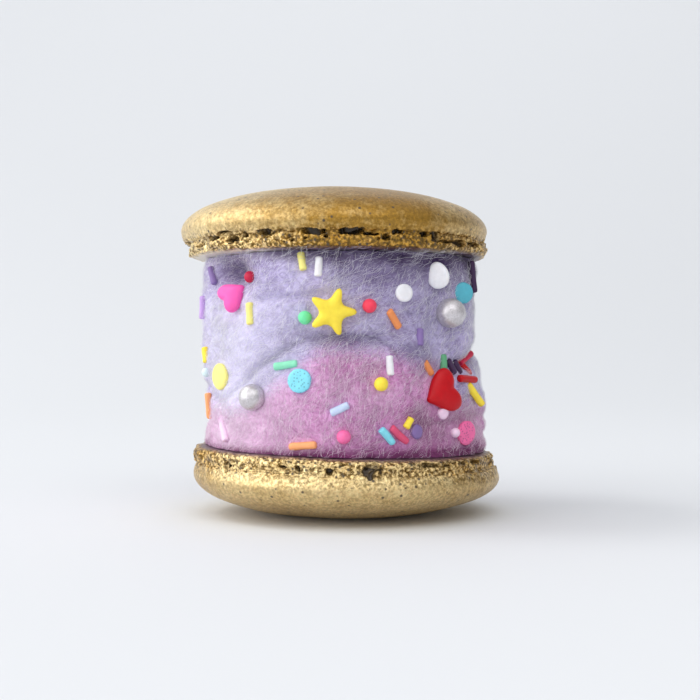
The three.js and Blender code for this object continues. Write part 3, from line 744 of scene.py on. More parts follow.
def spun_sugar_wad():
    material, tree, shader = new_material("spun_sugar_wad")
    place = add(tree, "ShaderNodeTexCoord").outputs["Object"]
    lavender = add(tree, "ShaderNodeAttribute", {"attribute_name": "lavender"}).outputs["Fac"]
    swirl = add(tree, "ShaderNodeTexNoise", {}, {"Vector": place, "Scale": 1 / (2.2 * MM), "Detail": 1.5,
                                                 "Distortion": 1.2})
    many = add(tree, "ShaderNodeMath", {"operation": "MULTIPLY"},
               {0: swirl.outputs["Fac"], 1: 1.1 / THREAD_SPACING})
    folded = add(tree, "ShaderNodeMath", {"operation": "PINGPONG"}, {0: many.outputs["Value"], 1: 0.5})
    speckle = add(tree, "ShaderNodeTexNoise", {}, {"Vector": place, "Scale": 1 / (0.3 * MM), "Detail": 2.0})
    tangle = add(tree, "ShaderNodeMath", {"operation": "ADD"},
                 {0: folded.outputs["Value"], 1: speckle.outputs["Fac"]})
    depth = add(tree, "ShaderNodeMapRange", {}, {"Value": tangle.outputs["Value"], "From Min": 0.45,
                                                 "From Max": 0.95, "To Min": 0.62, "To Max": 0.0})

    # Pale threads, with the gaps between them painted darker as shade
    threads = add(tree, "ShaderNodeMix", {"data_type": "RGBA"},
                  {"Factor": lavender, "A": linear("#E6A6DA"), "B": linear("#CABFE6")})
    shaded_gaps = add(tree, "ShaderNodeMix", {"data_type": "RGBA"},
               {"Factor": lavender, "A": linear("#A24C8E"), "B": linear("#7A6498")})
    mixed = add(tree, "ShaderNodeMix", {"data_type": "RGBA"},
                {"Factor": depth.outputs["Result"], "A": threads.outputs["Result"],
                 "B": shaded_gaps.outputs["Result"]})
    # Some handfuls were drawn out thinner and paler than others, and the lit left is painted paler as light
    drift = add(tree, "ShaderNodeTexNoise", {}, {"Vector": place, "Scale": 1 / (6 * MM), "Detail": 2.0})
    pale_share = add(tree, "ShaderNodeMapRange", {}, {"Value": drift.outputs["Fac"], "From Min": 0.4,
                                                "From Max": 0.7, "To Min": 0.0, "To Max": 0.35})
    left_light = add(tree, "ShaderNodeAttribute", {"attribute_name": "pale"}).outputs["Fac"]
    pale = add(tree, "ShaderNodeMath", {"operation": "MAXIMUM"}, {0: pale_share.outputs["Result"], 1: left_light})
    white = add(tree, "ShaderNodeMix", {"data_type": "RGBA"},
                {"Factor": lavender, "A": linear("#F2D8EE"), "B": linear("#E4E0F6")})
    unshaded = add(tree, "ShaderNodeMix", {"data_type": "RGBA"},
              {"Factor": pale.outputs["Value"], "A": mixed.outputs["Result"], "B": white.outputs["Result"]})
    # Painted shade: where the floss lies in shade its colour goes to a dark plum
    shade_colour = add(tree, "ShaderNodeMix", {"data_type": "RGBA"},
                {"Factor": lavender, "A": linear("#742C62"), "B": linear("#3C2456")})
    painted_shade = add(tree, "ShaderNodeAttribute", {"attribute_name": "painted_shade"}).outputs["Fac"]
    final = add(tree, "ShaderNodeMix", {"data_type": "RGBA"},
                {"Factor": painted_shade, "A": unshaded.outputs["Result"], "B": shade_colour.outputs["Result"]})
    tree.links.new(final.outputs["Result"], shader.inputs["Base Color"])
    shader.inputs["Roughness"].default_value = 0.9
    shader.inputs["Subsurface Weight"].default_value = 0.4
    shader.inputs["Subsurface Radius"].default_value = (1.0, 0.85, 1.0)
    shader.inputs["Subsurface Scale"].default_value = 1.0 * MM
    shader.inputs["Sheen Weight"].default_value = 0.25
    bump = add(tree, "ShaderNodeBump", {}, {"Strength": 0.7, "Distance": 0.12 * MM,
                                            "Height": tangle.outputs["Value"]})
    tree.links.new(bump.outputs["Normal"], shader.inputs["Normal"])
    return material


WAD = spun_sugar_wad()
print("the wad takes", len(WAD.node_tree.nodes), "nodes")


# %% Build both wads
FLOSS_COLUMNS = 560


def combed(points, size, seed):
    """Crumbs drawn out along the pull of the sugar, which wanders up and down as it goes round."""
    wander = 4.0 * lumps(points, 12.0, seed + 3)[..., None] * np.array((0, 0, 1.0))
    return crumbs((points + wander) * np.array((0.35, 0.35, 1.0)), size, seed)


def relief(wall):
    """How far a wad's face stands proud of its plain form, in mm: soft lumps, then combed tufts."""
    return 0.4 * crumbs(wall, 5.5, 31) + 0.2 * crumbs(wall, 2.6, 32) + 0.24 * combed(wall, 1.3, 33)


def wad_rings(low, high, rows, seed):
    """Rings of a layer between two heights given for each azimuth, with its ends drawn to the axis."""
    azimuth = np.arange(FLOSS_COLUMNS) / FLOSS_COLUMNS * 360
    share = np.linspace(0, 1, rows)[:, None]
    z = low(azimuth) + (high(azimuth) - low(azimuth)) * share
    wall = floss_point(azimuth + 0 * z, z)
    push = relief(wall) + 0.09 * crumbs(wall, 0.8, seed)
    wall = wall + grid_normals(wall) * push[..., None]
    inward = np.array((0.95, 0.8, 0.5, 0.1))[:, None, None]
    below = wall[0] * np.array((1, 1, 0)) * inward[::-1] + wall[0] * np.array((0, 0, 1))
    above = wall[-1] * np.array((1, 1, 0)) * inward + wall[-1] * np.array((0, 0, 1))
    return np.concatenate([below, wall, above])


def wad_object(name, node, rings):
    made = lathe_object(name, rings)
    azimuth = np.degrees(np.arctan2(rings[..., 0], -rings[..., 1]))
    keep_values(made, "lavender", lavender_share(azimuth, rings[..., 2]))
    keep_values(made, "painted_shade", painted_shade_at(azimuth, rings[..., 2]))
    keep_values(made, "pale", painted_left_light(azimuth, rings[..., 2]))
    made.data.materials.append(WAD)
    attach(made, "root")
    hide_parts(node)
    print(name, len(made.data.polygons), "faces")


LAP = 0.25  # the wads press into each other along the seam
wad_object("pink_floss_wad", "pink_floss", wad_rings(floss_bottom, lambda a: seam_height(a) + LAP, 90, 900))
wad_object("lavender_floss_wad", "lavender_floss",
           wad_rings(lambda a: seam_height(a) - LAP, lambda a: FLOSS_TOP + 0 * a, 130, 900))


# %% [markdown]
# ## Sprinkles
# Confectioners' sprinkles are simple forms made by the thousand: rods cut from a string of sugar
# paste, beads and discs, silver pearls, and a star and hearts pressed in a mould. Each is listed by
# where it lies on the floss, how its long side is turned and how big it is. The front ones follow
# the photograph. The rest are spread by a rule in which each step is an odd share of the way round,
# so that they never bunch up. The CAD uses the same list and rule.

# %% Where the sprinkles lie
COLOURS = {
    "yellow": "#FFE448", "butter": "#F5EC8C", "white": "#F0EFF3", "mint": "#74E6A8", "pale mint": "#8FE3BE",
    "sky": "#8AE0F2", "teal": "#5CB9CC", "pale blue": "#C6D6F2", "coral": "#F4455F", "rose": "#E0567C",
    "red": "#C40414", "dark red": "#C41E44", "hot pink": "#F55FB4", "candy pink": "#F573AC",
    "pale pink": "#F3D3EC", "lilac": "#C7A3E0", "violet": "#8A72AC", "plum": "#43294F", "frost": "#DDF0F2",
    "orange": "#F0965A", "peach": "#F9AC74", "green": "#62A87E",
}

Sprinkle = namedtuple("Sprinkle", "kind azimuth height turn size colour lean", defaults=[0])

# Azimuth, height, turn of the long side from level, length or width, colour. A few don't lie flat:
# their last value leans them towards a higher azimuth, in degrees
FRONT = {
    "star": [(-3, 31.8, 73, 6.6, "yellow", 14)],
    "heart": [(-47, 34.2, 40, 5.1, "hot pink", 24), (44, 19.9, 203, 6.8, "red", -10)],
    "pearl": [(48, 31.9, 0, 4.5, "white"), (-35, 19.2, 0, 4.0, "white")],
    "egg": [(43.5, 37.7, 100, 4.1, "white", -38)],
    "disc": [
        (25, 34.7, 0, 2.7, "white"), (58, 35.1, 0, 3.3, "teal", -38), (-15, 21.8, 0, 3.6, "sky"),
        (-57, 22.2, 0, 4.1, "butter"), (44, 16.6, 0, 1.8, "pale pink"),
        (58, 14.2, 0, 3.8, "candy pink", -12), (31, 14.6, 0, 2.3, "violet"),
    ],
    "bead": [
        (-13, 31.1, 0, 2.0, "mint"), (11, 32.7, 0, 2.1, "coral"), (15, 21.3, 0, 2.1, "yellow"),
        (1.5, 13.7, 0, 2.1, "candy pink"), (51, 13.7, 0, 1.5, "pale pink"), (-74, 22.8, 0, 1.5, "frost"),
        (-37.5, 37.2, 0, 1.8, "dark red"),
    ],
    "rod": [
        (-14.5, 40, 100, 2.8, "butter"), (-8, 38.4, 88, 3.0, "white"),
        (-36, 31.7, 98, 3.3, "butter"), (-77, 33.1, 85, 3.7, "lilac", 12), (21, 30.9, 129, 3.3, "orange"),
        (70, 37.8, 98, 5.0, "plum", -20), (33, 28.2, 80, 2.6, "violet"), (-21, 24.6, 8, 3.7, "pale mint"),
        (-75, 25.5, 112, 2.6, "yellow", 15), (-78, 17.5, 90, 4.2, "peach", 10),
        (-54, 13.7, 128, 3.4, "pale pink"),
        (19, 24.0, 90, 3.0, "white"), (37.5, 23.6, 134, 2.6, "orange"), (46, 24.2, 88, 2.8, "green"),
        (50.5, 23.7, 124, 2.6, "plum"), (56, 23.6, 121, 2.4, "plum"), (65, 25.1, 22, 4.2, "dark red"),
        (63, 23.7, 137, 4.0, "red"), (60, 21.7, -3, 4.8, "red"), (65, 19.4, 132, 4.6, "yellow", -25),
        (27, 15.5, 56, 1.7, "yellow"), (0, 17.7, 26, 2.9, "pale blue"), (18, 13.7, 134, 3.1, "sky"),
        (23, 13.8, 141, 3.7, "rose"), (-14, 12.3, 5, 4.1, "peach"), (-64, 37.9, 118, 3.0, "violet"),
    ],
}

BACK_COUNT = 32
BACK_FROM, BACK_TO = 102, 256
BACK_MARGIN = 1.2
STEP_ROUND, STEP_UP, STEP_TURN = 0.7548777, 0.5698403, 0.618034
BACK_KINDS = [("rod", 3.4), ("bead", 2.1), ("rod", 4.1), ("disc", 3.4), ("rod", 3.0), ("rod", 3.7),
              ("bead", 2.0), ("rod", 4.3), ("pearl", 4.1), ("rod", 3.2), ("disc", 2.8)]
BACK_COLOURS = ["peach", "sky", "butter", "candy pink", "white", "mint", "red", "lilac", "pale blue",
                "yellow", "teal", "pale pink", "orange"]
TOUCHING_GAP = 0.3


def all_sprinkles():
    laid = [Sprinkle(kind, *row) for kind, rows in FRONT.items() for row in rows]
    for i in range(BACK_COUNT):
        kind, size = BACK_KINDS[i % len(BACK_KINDS)]
        azimuth = BACK_FROM + (BACK_TO - BACK_FROM) * ((0.3 + i * STEP_ROUND) % 1)
        low = floss_bottom(azimuth) + TOUCHING_GAP + BACK_MARGIN
        high = UPPER_BASE - TOUCHING_GAP - BACK_MARGIN
        height = low + (high - low) * ((0.6 + i * STEP_UP) % 1)
        colour = BACK_COLOURS[i % len(BACK_COLOURS)]
        laid.append(Sprinkle(kind, azimuth, height, 180 * ((i * STEP_TURN) % 1), size, colour))
    return laid


SPRINKLES = all_sprinkles()
print(len(SPRINKLES), "sprinkles")


# %% [markdown]
# ## Laying a sprinkle down
# A sprinkle settles flat on the slope under it, and on one layer of floss only, so its height gives
# way a little near the seam. Its frame has one axis out of the floss and one along its long side.

# %% Settle the sprinkles
ROD_WIDTH = 1.15
THICKNESS = {"disc": 1.0, "egg": 1.2, "star": 2.0, "heart": 2.2}
LEAN_LIFT = 0.25
SINK = {"rod": 0.12, "bead": 0.35, "pearl": 0.7, "disc": 0.2, "egg": 0.2, "star": 0.4, "heart": 0.3}
CLEARANCE = 0.35


def settled_height(sprinkle):
    turn = math.radians(sprinkle.turn)
    rise, run = abs(math.sin(turn)), abs(math.cos(turn))
    up = out = sprinkle.size / 2
    if sprinkle.kind == "rod":
        up, out = up * rise + ROD_WIDTH / 2 * run, up * run + ROD_WIDTH / 2 * rise
    spread = math.degrees(out / FLOSS_RADIUS)
    seams = seam_height(sprinkle.azimuth + spread * np.array((-1, -0.5, 0, 0.5, 1)))
    above = seams.max() + CLEARANCE + up
    below = seams.min() - CLEARANCE - up
    z = sprinkle.height
    if below < z < above:
        z = above if above - z < z - below else below
    lowest = floss_bottom(sprinkle.azimuth) + TOUCHING_GAP + up
    return min(max(z, lowest), UPPER_BASE - TOUCHING_GAP - up)


def laid_down(sprinkle):
    """Centre of a sprinkle, the way along its long side and the way out of the floss."""
    azimuth = sprinkle.azimuth
    turn = math.radians(sprinkle.turn)
    z = settled_height(sprinkle)
    round_step = floss_point(azimuth + 3, z) - floss_point(azimuth - 3, z)
    up_step = floss_point(azimuth, z + 1.2) - floss_point(azimuth, z - 1.2)
    out = unit(np.cross(round_step, up_step))
    out = np.array(Matrix.Rotation(math.radians(sprinkle.lean), 3, "Z")) @ out
    level = unit(np.cross((0, 0, 1.0), out))
    upward = np.cross(out, level)
    along = level * math.cos(turn) + upward * math.sin(turn)
    on_floss = floss_point(azimuth, z)
    lift = SINK[sprinkle.kind] + LEAN_LIFT * sprinkle.size * abs(math.sin(math.radians(sprinkle.lean)))
    proud = relief(on_floss[None])[0] + lift
    return on_floss + proud * out, along, out


moved = [abs(settled_height(sprinkle) - sprinkle.height) for sprinkle in SPRINKLES]
print("sprinkles moved by more than half a millimetre:", sum(m > 0.5 for m in moved))


# %% [markdown]
# ## The forms
# One form of each kind is made one unit wide, and stretched to size where it is used. Pressed and
# poured sugar is always a little pillowy: a flat outline whose thickness swells up from the rim.
# So one function serves discs, beads, the star and the hearts, and only the outline and the way the
# thickness swells differ. A rod is a string of rings with its ends pinched shut.

# %% Sprinkle forms
FORM_COLUMNS = 60


def rounded(corners, times):
    """Cuts every corner of a closed outline again and again, which rounds it."""
    points = np.array(corners, dtype=float)
    for _ in range(times):
        after = np.roll(points, -1, axis=0)
        points = np.stack([0.75 * points + 0.25 * after, 0.25 * points + 0.75 * after], axis=1).reshape(-1, 2)
    return points


def evened(outline):
    """The outline again, with FORM_COLUMNS points at even angles round its middle."""
    angles = np.unwrap(np.arctan2(outline[:, 1], outline[:, 0]))
    order = np.argsort(angles % (2 * math.pi))
    radii = np.hypot(outline[:, 0], outline[:, 1])[order]
    wanted = np.arange(FORM_COLUMNS) / FORM_COLUMNS * 2 * math.pi
    even = np.interp(wanted, (angles % (2 * math.pi))[order], radii, period=2 * math.pi)
    return np.stack([even * np.cos(wanted), even * np.sin(wanted)], axis=-1)


def circle_outline():
    angles = np.arange(FORM_COLUMNS) / FORM_COLUMNS * 2 * math.pi
    return 0.5 * np.stack([np.cos(angles), np.sin(angles)], axis=-1)


def egg_outline():
    outline = circle_outline()
    narrower = 0.82 - 0.22 * outline[:, 0]  # towards +X
    return outline * np.stack([1 + 0 * narrower, narrower], axis=-1)


def star_outline():
    corners = []
    for arm in range(5):
        middle = arm / 5 * 2 * math.pi
        for angle, radius in ((-0.12, 0.55), (0.12, 0.55), (math.pi / 5, 0.235)):
            corners.append((radius * math.cos(middle + angle), radius * math.sin(middle + angle)))
    return evened(rounded(corners, 3))


def heart_outline():
    """Heart with its point towards +X."""
    upper_half = [(-0.27, 0.0), (-0.37, 0.16), (-0.38, 0.36), (-0.26, 0.5), (-0.06, 0.5), (0.14, 0.36),
                  (0.33, 0.16)]
    lower_half = [(x, -y) for x, y in reversed(upper_half[1:])]
    return evened(rounded(upper_half + [(0.5, 0.0)] + lower_half, 3))


def pillow(name, outline, flatness, rings=9):
    """A closed form over an outline: a high flatness gives a slab, and 2 gives a dome."""
    angles = np.linspace(0.06, math.pi - 0.06, 2 * rings)
    reach = np.sin(angles) ** (2 / flatness)
    height = -0.5 * np.sign(np.cos(angles)) * np.abs(np.cos(angles)) ** (2 / flatness)
    points = np.zeros((len(angles), len(outline), 3))
    points[..., :2] = reach[:, None, None] * outline
    points[..., 2] = height[:, None]
    return lathe_object(name, points)


def rod_form():
    """A rod along X, one long and one wide, with blunt ends."""
    along = np.array([-0.5, -0.495, -0.47, -0.42, -0.3, -0.15, 0, 0.15, 0.3, 0.42, 0.47, 0.495, 0.5])
    width = np.array([0.24, 0.36, 0.46, 0.5, 0.5, 0.49, 0.49, 0.5, 0.49, 0.5, 0.46, 0.36, 0.24])
    angles = np.arange(14) / 14 * 2 * math.pi
    points = np.zeros((len(along), len(angles), 3))
    points[..., 0] = along[:, None]
    points[..., 1] = width[:, None] * np.cos(angles)
    points[..., 2] = width[:, None] * np.sin(angles)
    return lathe_object("rod_form", points)


FORMS = {
    "rod": rod_form(),
    "bead": pillow("bead_form", circle_outline(), 2.0),
    "pearl": pillow("pearl_form", circle_outline(), 2.0, rings=16),
    "disc": pillow("disc_form", circle_outline(), 3.2),
    "egg": pillow("egg_form", egg_outline(), 2.7),
    "star": pillow("star_form", star_outline(), 2.6),
    "heart": pillow("heart_form", heart_outline(), 2.4, rings=14),
}
print("faces of each form:", {kind: len(form.data.polygons) for kind, form in FORMS.items()})


# %% [markdown]
# ## What the sprinkles are made of
# Coloured ones are sugar paste: matt with a faint wax shine, and a little light passes through, which
# softens their shading. Some discs are speckled. The pearls are sugar balls tumbled in pearl dust, a
# thin metallic skin that is not quite smooth, so they sparkle. The colour of each one is an
# attribute, tint, whose fourth value says how speckled it is.

# %% Sprinkle materials
def sugar_paste():
    material, tree, shader = new_material("sugar_paste")
    place = add(tree, "ShaderNodeTexCoord").outputs["Object"]
    tint = add(tree, "ShaderNodeAttribute", {"attribute_name": "tint"})
    mottle = add(tree, "ShaderNodeTexNoise", {}, {"Vector": place, "Scale": 1 / (0.7 * MM), "Detail": 3.0})
    shade = add(tree, "ShaderNodeMapRange", {},
                {"Value": mottle.outputs["Fac"], "To Min": 0.86, "To Max": 1.1})
    toned = add(tree, "ShaderNodeVectorMath", {"operation": "SCALE"},
                {0: tint.outputs["Color"], "Scale": shade.outputs["Result"]})
    # The speckled ones have small deep dots
    dots = add(tree, "ShaderNodeTexVoronoi", {}, {"Vector": place, "Scale": 1 / (0.4 * MM)})
    dot = add(tree, "ShaderNodeMapRange", {}, {"Value": dots.outputs["Distance"], "From Min": 0.2,
                                               "From Max": 0.42, "To Min": 1.0, "To Max": 0.0})
    speckled = add(tree, "ShaderNodeMath", {"operation": "MULTIPLY"},
                   {0: dot.outputs["Result"], 1: tint.outputs["Alpha"]})
    dark = add(tree, "ShaderNodeVectorMath", {"operation": "SCALE"}, {0: tint.outputs["Color"], "Scale": 0.6})
    colour = add(tree, "ShaderNodeMix", {"data_type": "RGBA"},
                 {"Factor": speckled.outputs["Value"], "A": toned.outputs["Vector"],
                  "B": dark.outputs["Vector"]})
    tree.links.new(colour.outputs["Result"], shader.inputs["Base Color"])
    shader.inputs["Roughness"].default_value = 0.42
    shader.inputs["Specular IOR Level"].default_value = 0.3
    shader.inputs["Subsurface Weight"].default_value = 0.15
    shader.inputs["Subsurface Radius"].default_value = (1.0, 0.7, 0.6)
    shader.inputs["Subsurface Scale"].default_value = 0.4 * MM
    fine = add(tree, "ShaderNodeTexNoise", {}, {"Vector": place, "Scale": 1 / (0.25 * MM), "Detail": 2.0})
    bump = add(tree, "ShaderNodeBump", {},
               {"Strength": 0.25, "Distance": 0.04 * MM, "Height": fine.outputs["Fac"]})
    tree.links.new(bump.outputs["Normal"], shader.inputs["Normal"])
    return material


def pearl_dust():
    material, tree, shader = new_material("pearl_dust_on_sugar")
    place = add(tree, "ShaderNodeTexCoord").outputs["Object"]
    flakes = add(tree, "ShaderNodeTexVoronoi", {}, {"Vector": place, "Scale": 1 / (0.22 * MM)})
    grey = add(tree, "ShaderNodeRGBToBW", {}, {"Color": flakes.outputs["Color"]})
    colour = add(tree, "ShaderNodeMix", {"data_type": "RGBA"},
                 {"Factor": grey.outputs["Val"], "A": linear("#BCB8BA"), "B": linear("#E0DCE0")})
    tree.links.new(colour.outputs["Result"], shader.inputs["Base Color"])
    shader.inputs["Metallic"].default_value = 0.7
    rough = add(tree, "ShaderNodeMapRange", {}, {"Value": grey.outputs["Val"], "To Min": 0.3, "To Max": 0.46})
    tree.links.new(rough.outputs["Result"], shader.inputs["Roughness"])
    centred = add(tree, "ShaderNodeVectorMath", {"operation": "SUBTRACT"},
                  {0: flakes.outputs["Color"], 1: (0.5, 0.5, 0.5)})
    lump = add(tree, "ShaderNodeTexNoise", {}, {"Vector": place, "Scale": 1 / (0.9 * MM), "Detail": 1.0})
    bump = add(tree, "ShaderNodeBump", {},
               {"Strength": 0.2, "Distance": 0.1 * MM, "Height": lump.outputs["Fac"]})
    tilt = add(tree, "ShaderNodeVectorMath", {"operation": "MULTIPLY_ADD"},
               {0: centred.outputs["Vector"], 1: (0.08, 0.08, 0.08), 2: bump.outputs["Normal"]})
    facing = add(tree, "ShaderNodeVectorMath", {"operation": "NORMALIZE"}, {0: tilt.outputs["Vector"]})
    tree.links.new(facing.outputs["Vector"], shader.inputs["Normal"])
    return material


PASTE = sugar_paste()
PEARL = pearl_dust()
print("sprinkle materials:", PASTE.name, "and", PEARL.name)


# %% [markdown]
# ## Scattering them with Geometry Nodes
# A mesh of bare points carries each sprinkle's frame, size and tint as attributes. One small tree
# puts the form on every point, turned to that frame and stretched to size, makes the copies real,
# and then presses all of them slightly out of shape, so that no two are alike.

# %% The sprinkle tree
def node_group(name, inputs):
    """A geometry node group with the named inputs, returned with its input and output nodes."""
    group = bpy.data.node_groups.new(name, "GeometryNodeTree")
    group.interface.new_socket("Geometry", in_out="INPUT", socket_type="NodeSocketGeometry")
    for label, kind in inputs.items():
        group.interface.new_socket(label, in_out="INPUT", socket_type=kind)
    group.interface.new_socket("Geometry", in_out="OUTPUT", socket_type="NodeSocketGeometry")
    return group, group.nodes.new("NodeGroupInput"), group.nodes.new("NodeGroupOutput")


def sprinkle_tree():
    group, given, result = node_group("laid_sprinkles", {
        "Form": "NodeSocketObject",
        "Unevenness": "NodeSocketFloat",
        "Dent Size": "NodeSocketFloat",
        "Seed": "NodeSocketFloat",
        "Material": "NodeSocketMaterial",
    })
    want = given.outputs
    form = add(group, "GeometryNodeObjectInfo", {}, {"Object": want["Form"], "As Instance": True})
    out, along, stretch = (
        add(group, "GeometryNodeInputNamedAttribute", {"data_type": "FLOAT_VECTOR"},
            {"Name": name}).outputs["Attribute"] for name in ("out", "along", "stretch"))
    facing = add(group, "FunctionNodeAxesToRotation", {"primary_axis": "Z", "secondary_axis": "X"},
                 {"Primary Axis": out, "Secondary Axis": along})
    laid = add(group, "GeometryNodeInstanceOnPoints", {},
               {"Points": want["Geometry"], "Instance": form.outputs["Geometry"],
                "Rotation": facing.outputs["Rotation"], "Scale": stretch})
    whole = add(group, "GeometryNodeRealizeInstances", {}, {"Geometry": laid.outputs["Instances"]})
    per_metre = add(group, "ShaderNodeMath", {"operation": "DIVIDE"}, {0: 1.0, 1: want["Dent Size"]})
    dents = add(group, "ShaderNodeTexNoise", {"noise_dimensions": "4D"},
                {"W": want["Seed"], "Scale": per_metre.outputs["Value"], "Detail": 1.0})
    centred = add(group, "ShaderNodeVectorMath", {"operation": "SUBTRACT"},
                  {0: dents.outputs["Color"], 1: (0.5, 0.5, 0.5)})
    push = add(group, "ShaderNodeVectorMath", {"operation": "SCALE"},
               {0: centred.outputs["Vector"], "Scale": want["Unevenness"]})
    pressed = add(group, "GeometryNodeSetPosition", {},
                  {"Geometry": whole.outputs["Geometry"], "Offset": push.outputs["Vector"]})
    coated = add(group, "GeometryNodeSetMaterial", {},
                 {"Geometry": pressed.outputs["Geometry"], "Material": want["Material"]})
    group.links.new(coated.outputs["Geometry"], result.inputs["Geometry"])
    return group


# %% Turn a tree's result into a plain mesh
CARRIER_VALUES = ("flow", "lavender", "room", "along", "out", "stretch")


def grown(name, carrier, group, values):
    """Runs a node group on the carrier's mesh and returns the result as a plain object of its own."""
    modifier = carrier.modifiers.new(name, "NODES")
    modifier.node_group = group
    for item in group.interface.items_tree:
        if item.in_out == "INPUT" and item.name in values:
            modifier[item.identifier] = values[item.name]
    bpy.context.view_layer.update()
    evaluated = carrier.evaluated_get(bpy.context.evaluated_depsgraph_get())
    mesh = bpy.data.meshes.new_from_object(evaluated)
    carrier.modifiers.remove(modifier)
    mesh.name = name
    for leftover in CARRIER_VALUES:
        if leftover in mesh.attributes:
            mesh.attributes.remove(mesh.attributes[leftover])
    made = bpy.data.objects.new(name, mesh)
    bpy.context.collection.objects.link(made)
    return made


def triangle_count(made):
    return sum(len(polygon.vertices) - 2 for polygon in made.data.polygons)


# %% Lay all the sprinkles
SPECKLED = {"sky", "candy pink"}  # of the discs
KINDS = {  # kind: piece, unevenness and size of dents in mm
    "rod": ("sugar_rods", 0.22, 1.6),
    "bead": ("sugar_beads", 0.14, 1.2),
    "pearl": ("sugar_pearls", 0.18, 1.5),
    "disc": ("sugar_discs", 0.25, 1.4),
    "egg": ("sugar_egg", 0.1, 1.5),
    "star": ("sugar_star", 0.22, 1.8),
    "heart": ("sugar_hearts", 0.2, 1.8),
}


def stretched(kind, size):
    if kind == "rod":
        return size, ROD_WIDTH, ROD_WIDTH
    return size, size, THICKNESS.get(kind, size)


def points_of(kind):
    """A mesh of bare points that carries the frame, size and tint of every sprinkle of a kind."""
    chosen = [sprinkle for sprinkle in SPRINKLES if sprinkle.kind == kind]
    frames = [laid_down(sprinkle) for sprinkle in chosen]
    carrier = make_object(f"{kind}_points", [middle for middle, _, _ in frames], [])
    keep_vectors(carrier, "along", [along for _, along, _ in frames])
    keep_vectors(carrier, "out", [out for _, _, out in frames])
    keep_vectors(carrier, "stretch", [stretched(kind, sprinkle.size) for sprinkle in chosen])
    tints = [linear(COLOURS[s.colour])[:3] + [float(kind == "disc" and s.colour in SPECKLED)] for s in chosen]
    stored = carrier.data.attributes.new("tint", "FLOAT_COLOR", "POINT")
    stored.data.foreach_set("color", np.array(tints, dtype=np.float32).ravel())
    return carrier


LAY = sprinkle_tree()
for index, (kind, (name, unevenness, dent)) in enumerate(KINDS.items()):
    carrier = points_of(kind)
    made = grown(name, carrier, LAY, {
        "Form": FORMS[kind],
        "Unevenness": unevenness * MM,
        "Dent Size": dent * MM,
        "Seed": 3.0 + index,
        "Material": PEARL if kind == "pearl" else PASTE,
    })
    bpy.data.objects.remove(carrier)
    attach(made, "root")
    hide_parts("lavender_floss", "pink_floss")
    print(name, triangle_count(made), "triangles")

for form in FORMS.values():
    bpy.data.objects.remove(form)


# %% [markdown]
# ## Sugar strands
# The strands are what the eye reads as floss. Hair particles would be the usual way, but particles
# are lost on export, so this is a Geometry Nodes tree. It scatters points on a skin, lays a short
# line on each along the pull of the sugar, curls it, presses it back onto the skin and gives it
# thickness. The skin carries what differs from place to place: the pull, the wad's colour, and how
# much room there is between the sprinkles.

# %% A skin for strands to start on
def room_for_strands(places):
    """0 under a sprinkle and 1 where strands have the surface to themselves."""
    room = np.ones(places.shape[:-1])
    for sprinkle in SPRINKLES:
        middle, along, _ = laid_down(sprinkle)
        is_rod = sprinkle.kind == "rod"
        half, width = (sprinkle.size / 2, ROD_WIDTH / 2) if is_rod else (0.0, sprinkle.size / 2)
        away = places - middle
        slid = np.clip(away @ along, -half, half)[..., None] * along
        gap = np.linalg.norm(away - slid, axis=-1) - width
        room = np.minimum(room, smoothstep(gap, -0.1, 0.7))
    return room


def skin_object():
    """The outer wall of all the floss as an open sheet."""
    columns, rows = 420, 130
    azimuth = np.arange(columns) / columns * 360
    low = floss_bottom(azimuth) + 0.1
    z = low + (FLOSS_TOP + 0.4 - low) * np.linspace(0, 1, rows)[:, None]
    wall = floss_point(azimuth + 0 * z, z)
    normal = grid_normals(wall)
    wall = wall + normal * relief(wall)[..., None]
    room = room_for_strands(wall)
    # Loose fuzz spreads over both rims, but not where the floss is drawn in
    drawn_in = np.maximum(bell(degrees_between(azimuth, -78) / 34), bell(degrees_between(azimuth, 85) / 22))
    spread = 2.6 * smoothstep(z, FLOSS_TOP - 2.4, FLOSS_TOP + 0.6) ** 1.5
    spread = spread + 1.1 * smoothstep(z - floss_bottom(azimuth), 1.7, 0) ** 1.5
    wall = wall + around(azimuth) * ((1 - drawn_in) * spread)[..., None]
    patchy = 0.5 + 1.0 * smoothstep(lumps(wall, 4.0, 51), -0.6, 0.8)
    skin = make_object("floss_skin", wall.reshape(-1, 3), ring_faces(rows, columns))
    level = np.cross(np.array((0, 0, 1.0)), normal)
    upward = np.cross(normal, level)
    angle = 0.5 * lumps(wall, 9.0, 41) + 0.3 * lumps(wall, 4.0, 42)
    keep_vectors(skin, "flow", level * np.cos(angle)[..., None] + upward * np.sin(angle)[..., None])
    # The wad's painted shade and painted light go on to the strands
    painted_shade = painted_shade_at(azimuth + 0 * z, z)
    lavender = lavender_share(azimuth + 0 * z, z)
    free = room * patchy * (1 - 0.75 * painted_shade)
    shares = {"lavender": lavender, "painted_shade": painted_shade, "pale": painted_left_light(azimuth, z), "room": free}
    for name, values in shares.items():
        stored = skin.data.attributes.new(name, "FLOAT", "POINT")
        stored.data.foreach_set("value", values.ravel().astype(np.float32))
    return skin


SKIN = skin_object()
print("the skin has", len(SKIN.data.polygons), "faces")


# %% [markdown]
# ## The strand tree
# Each strand gets a random lot of its own. It picks the part of the noise that bends the strand, the
# height to which it arches and, in the material, how pale it is.

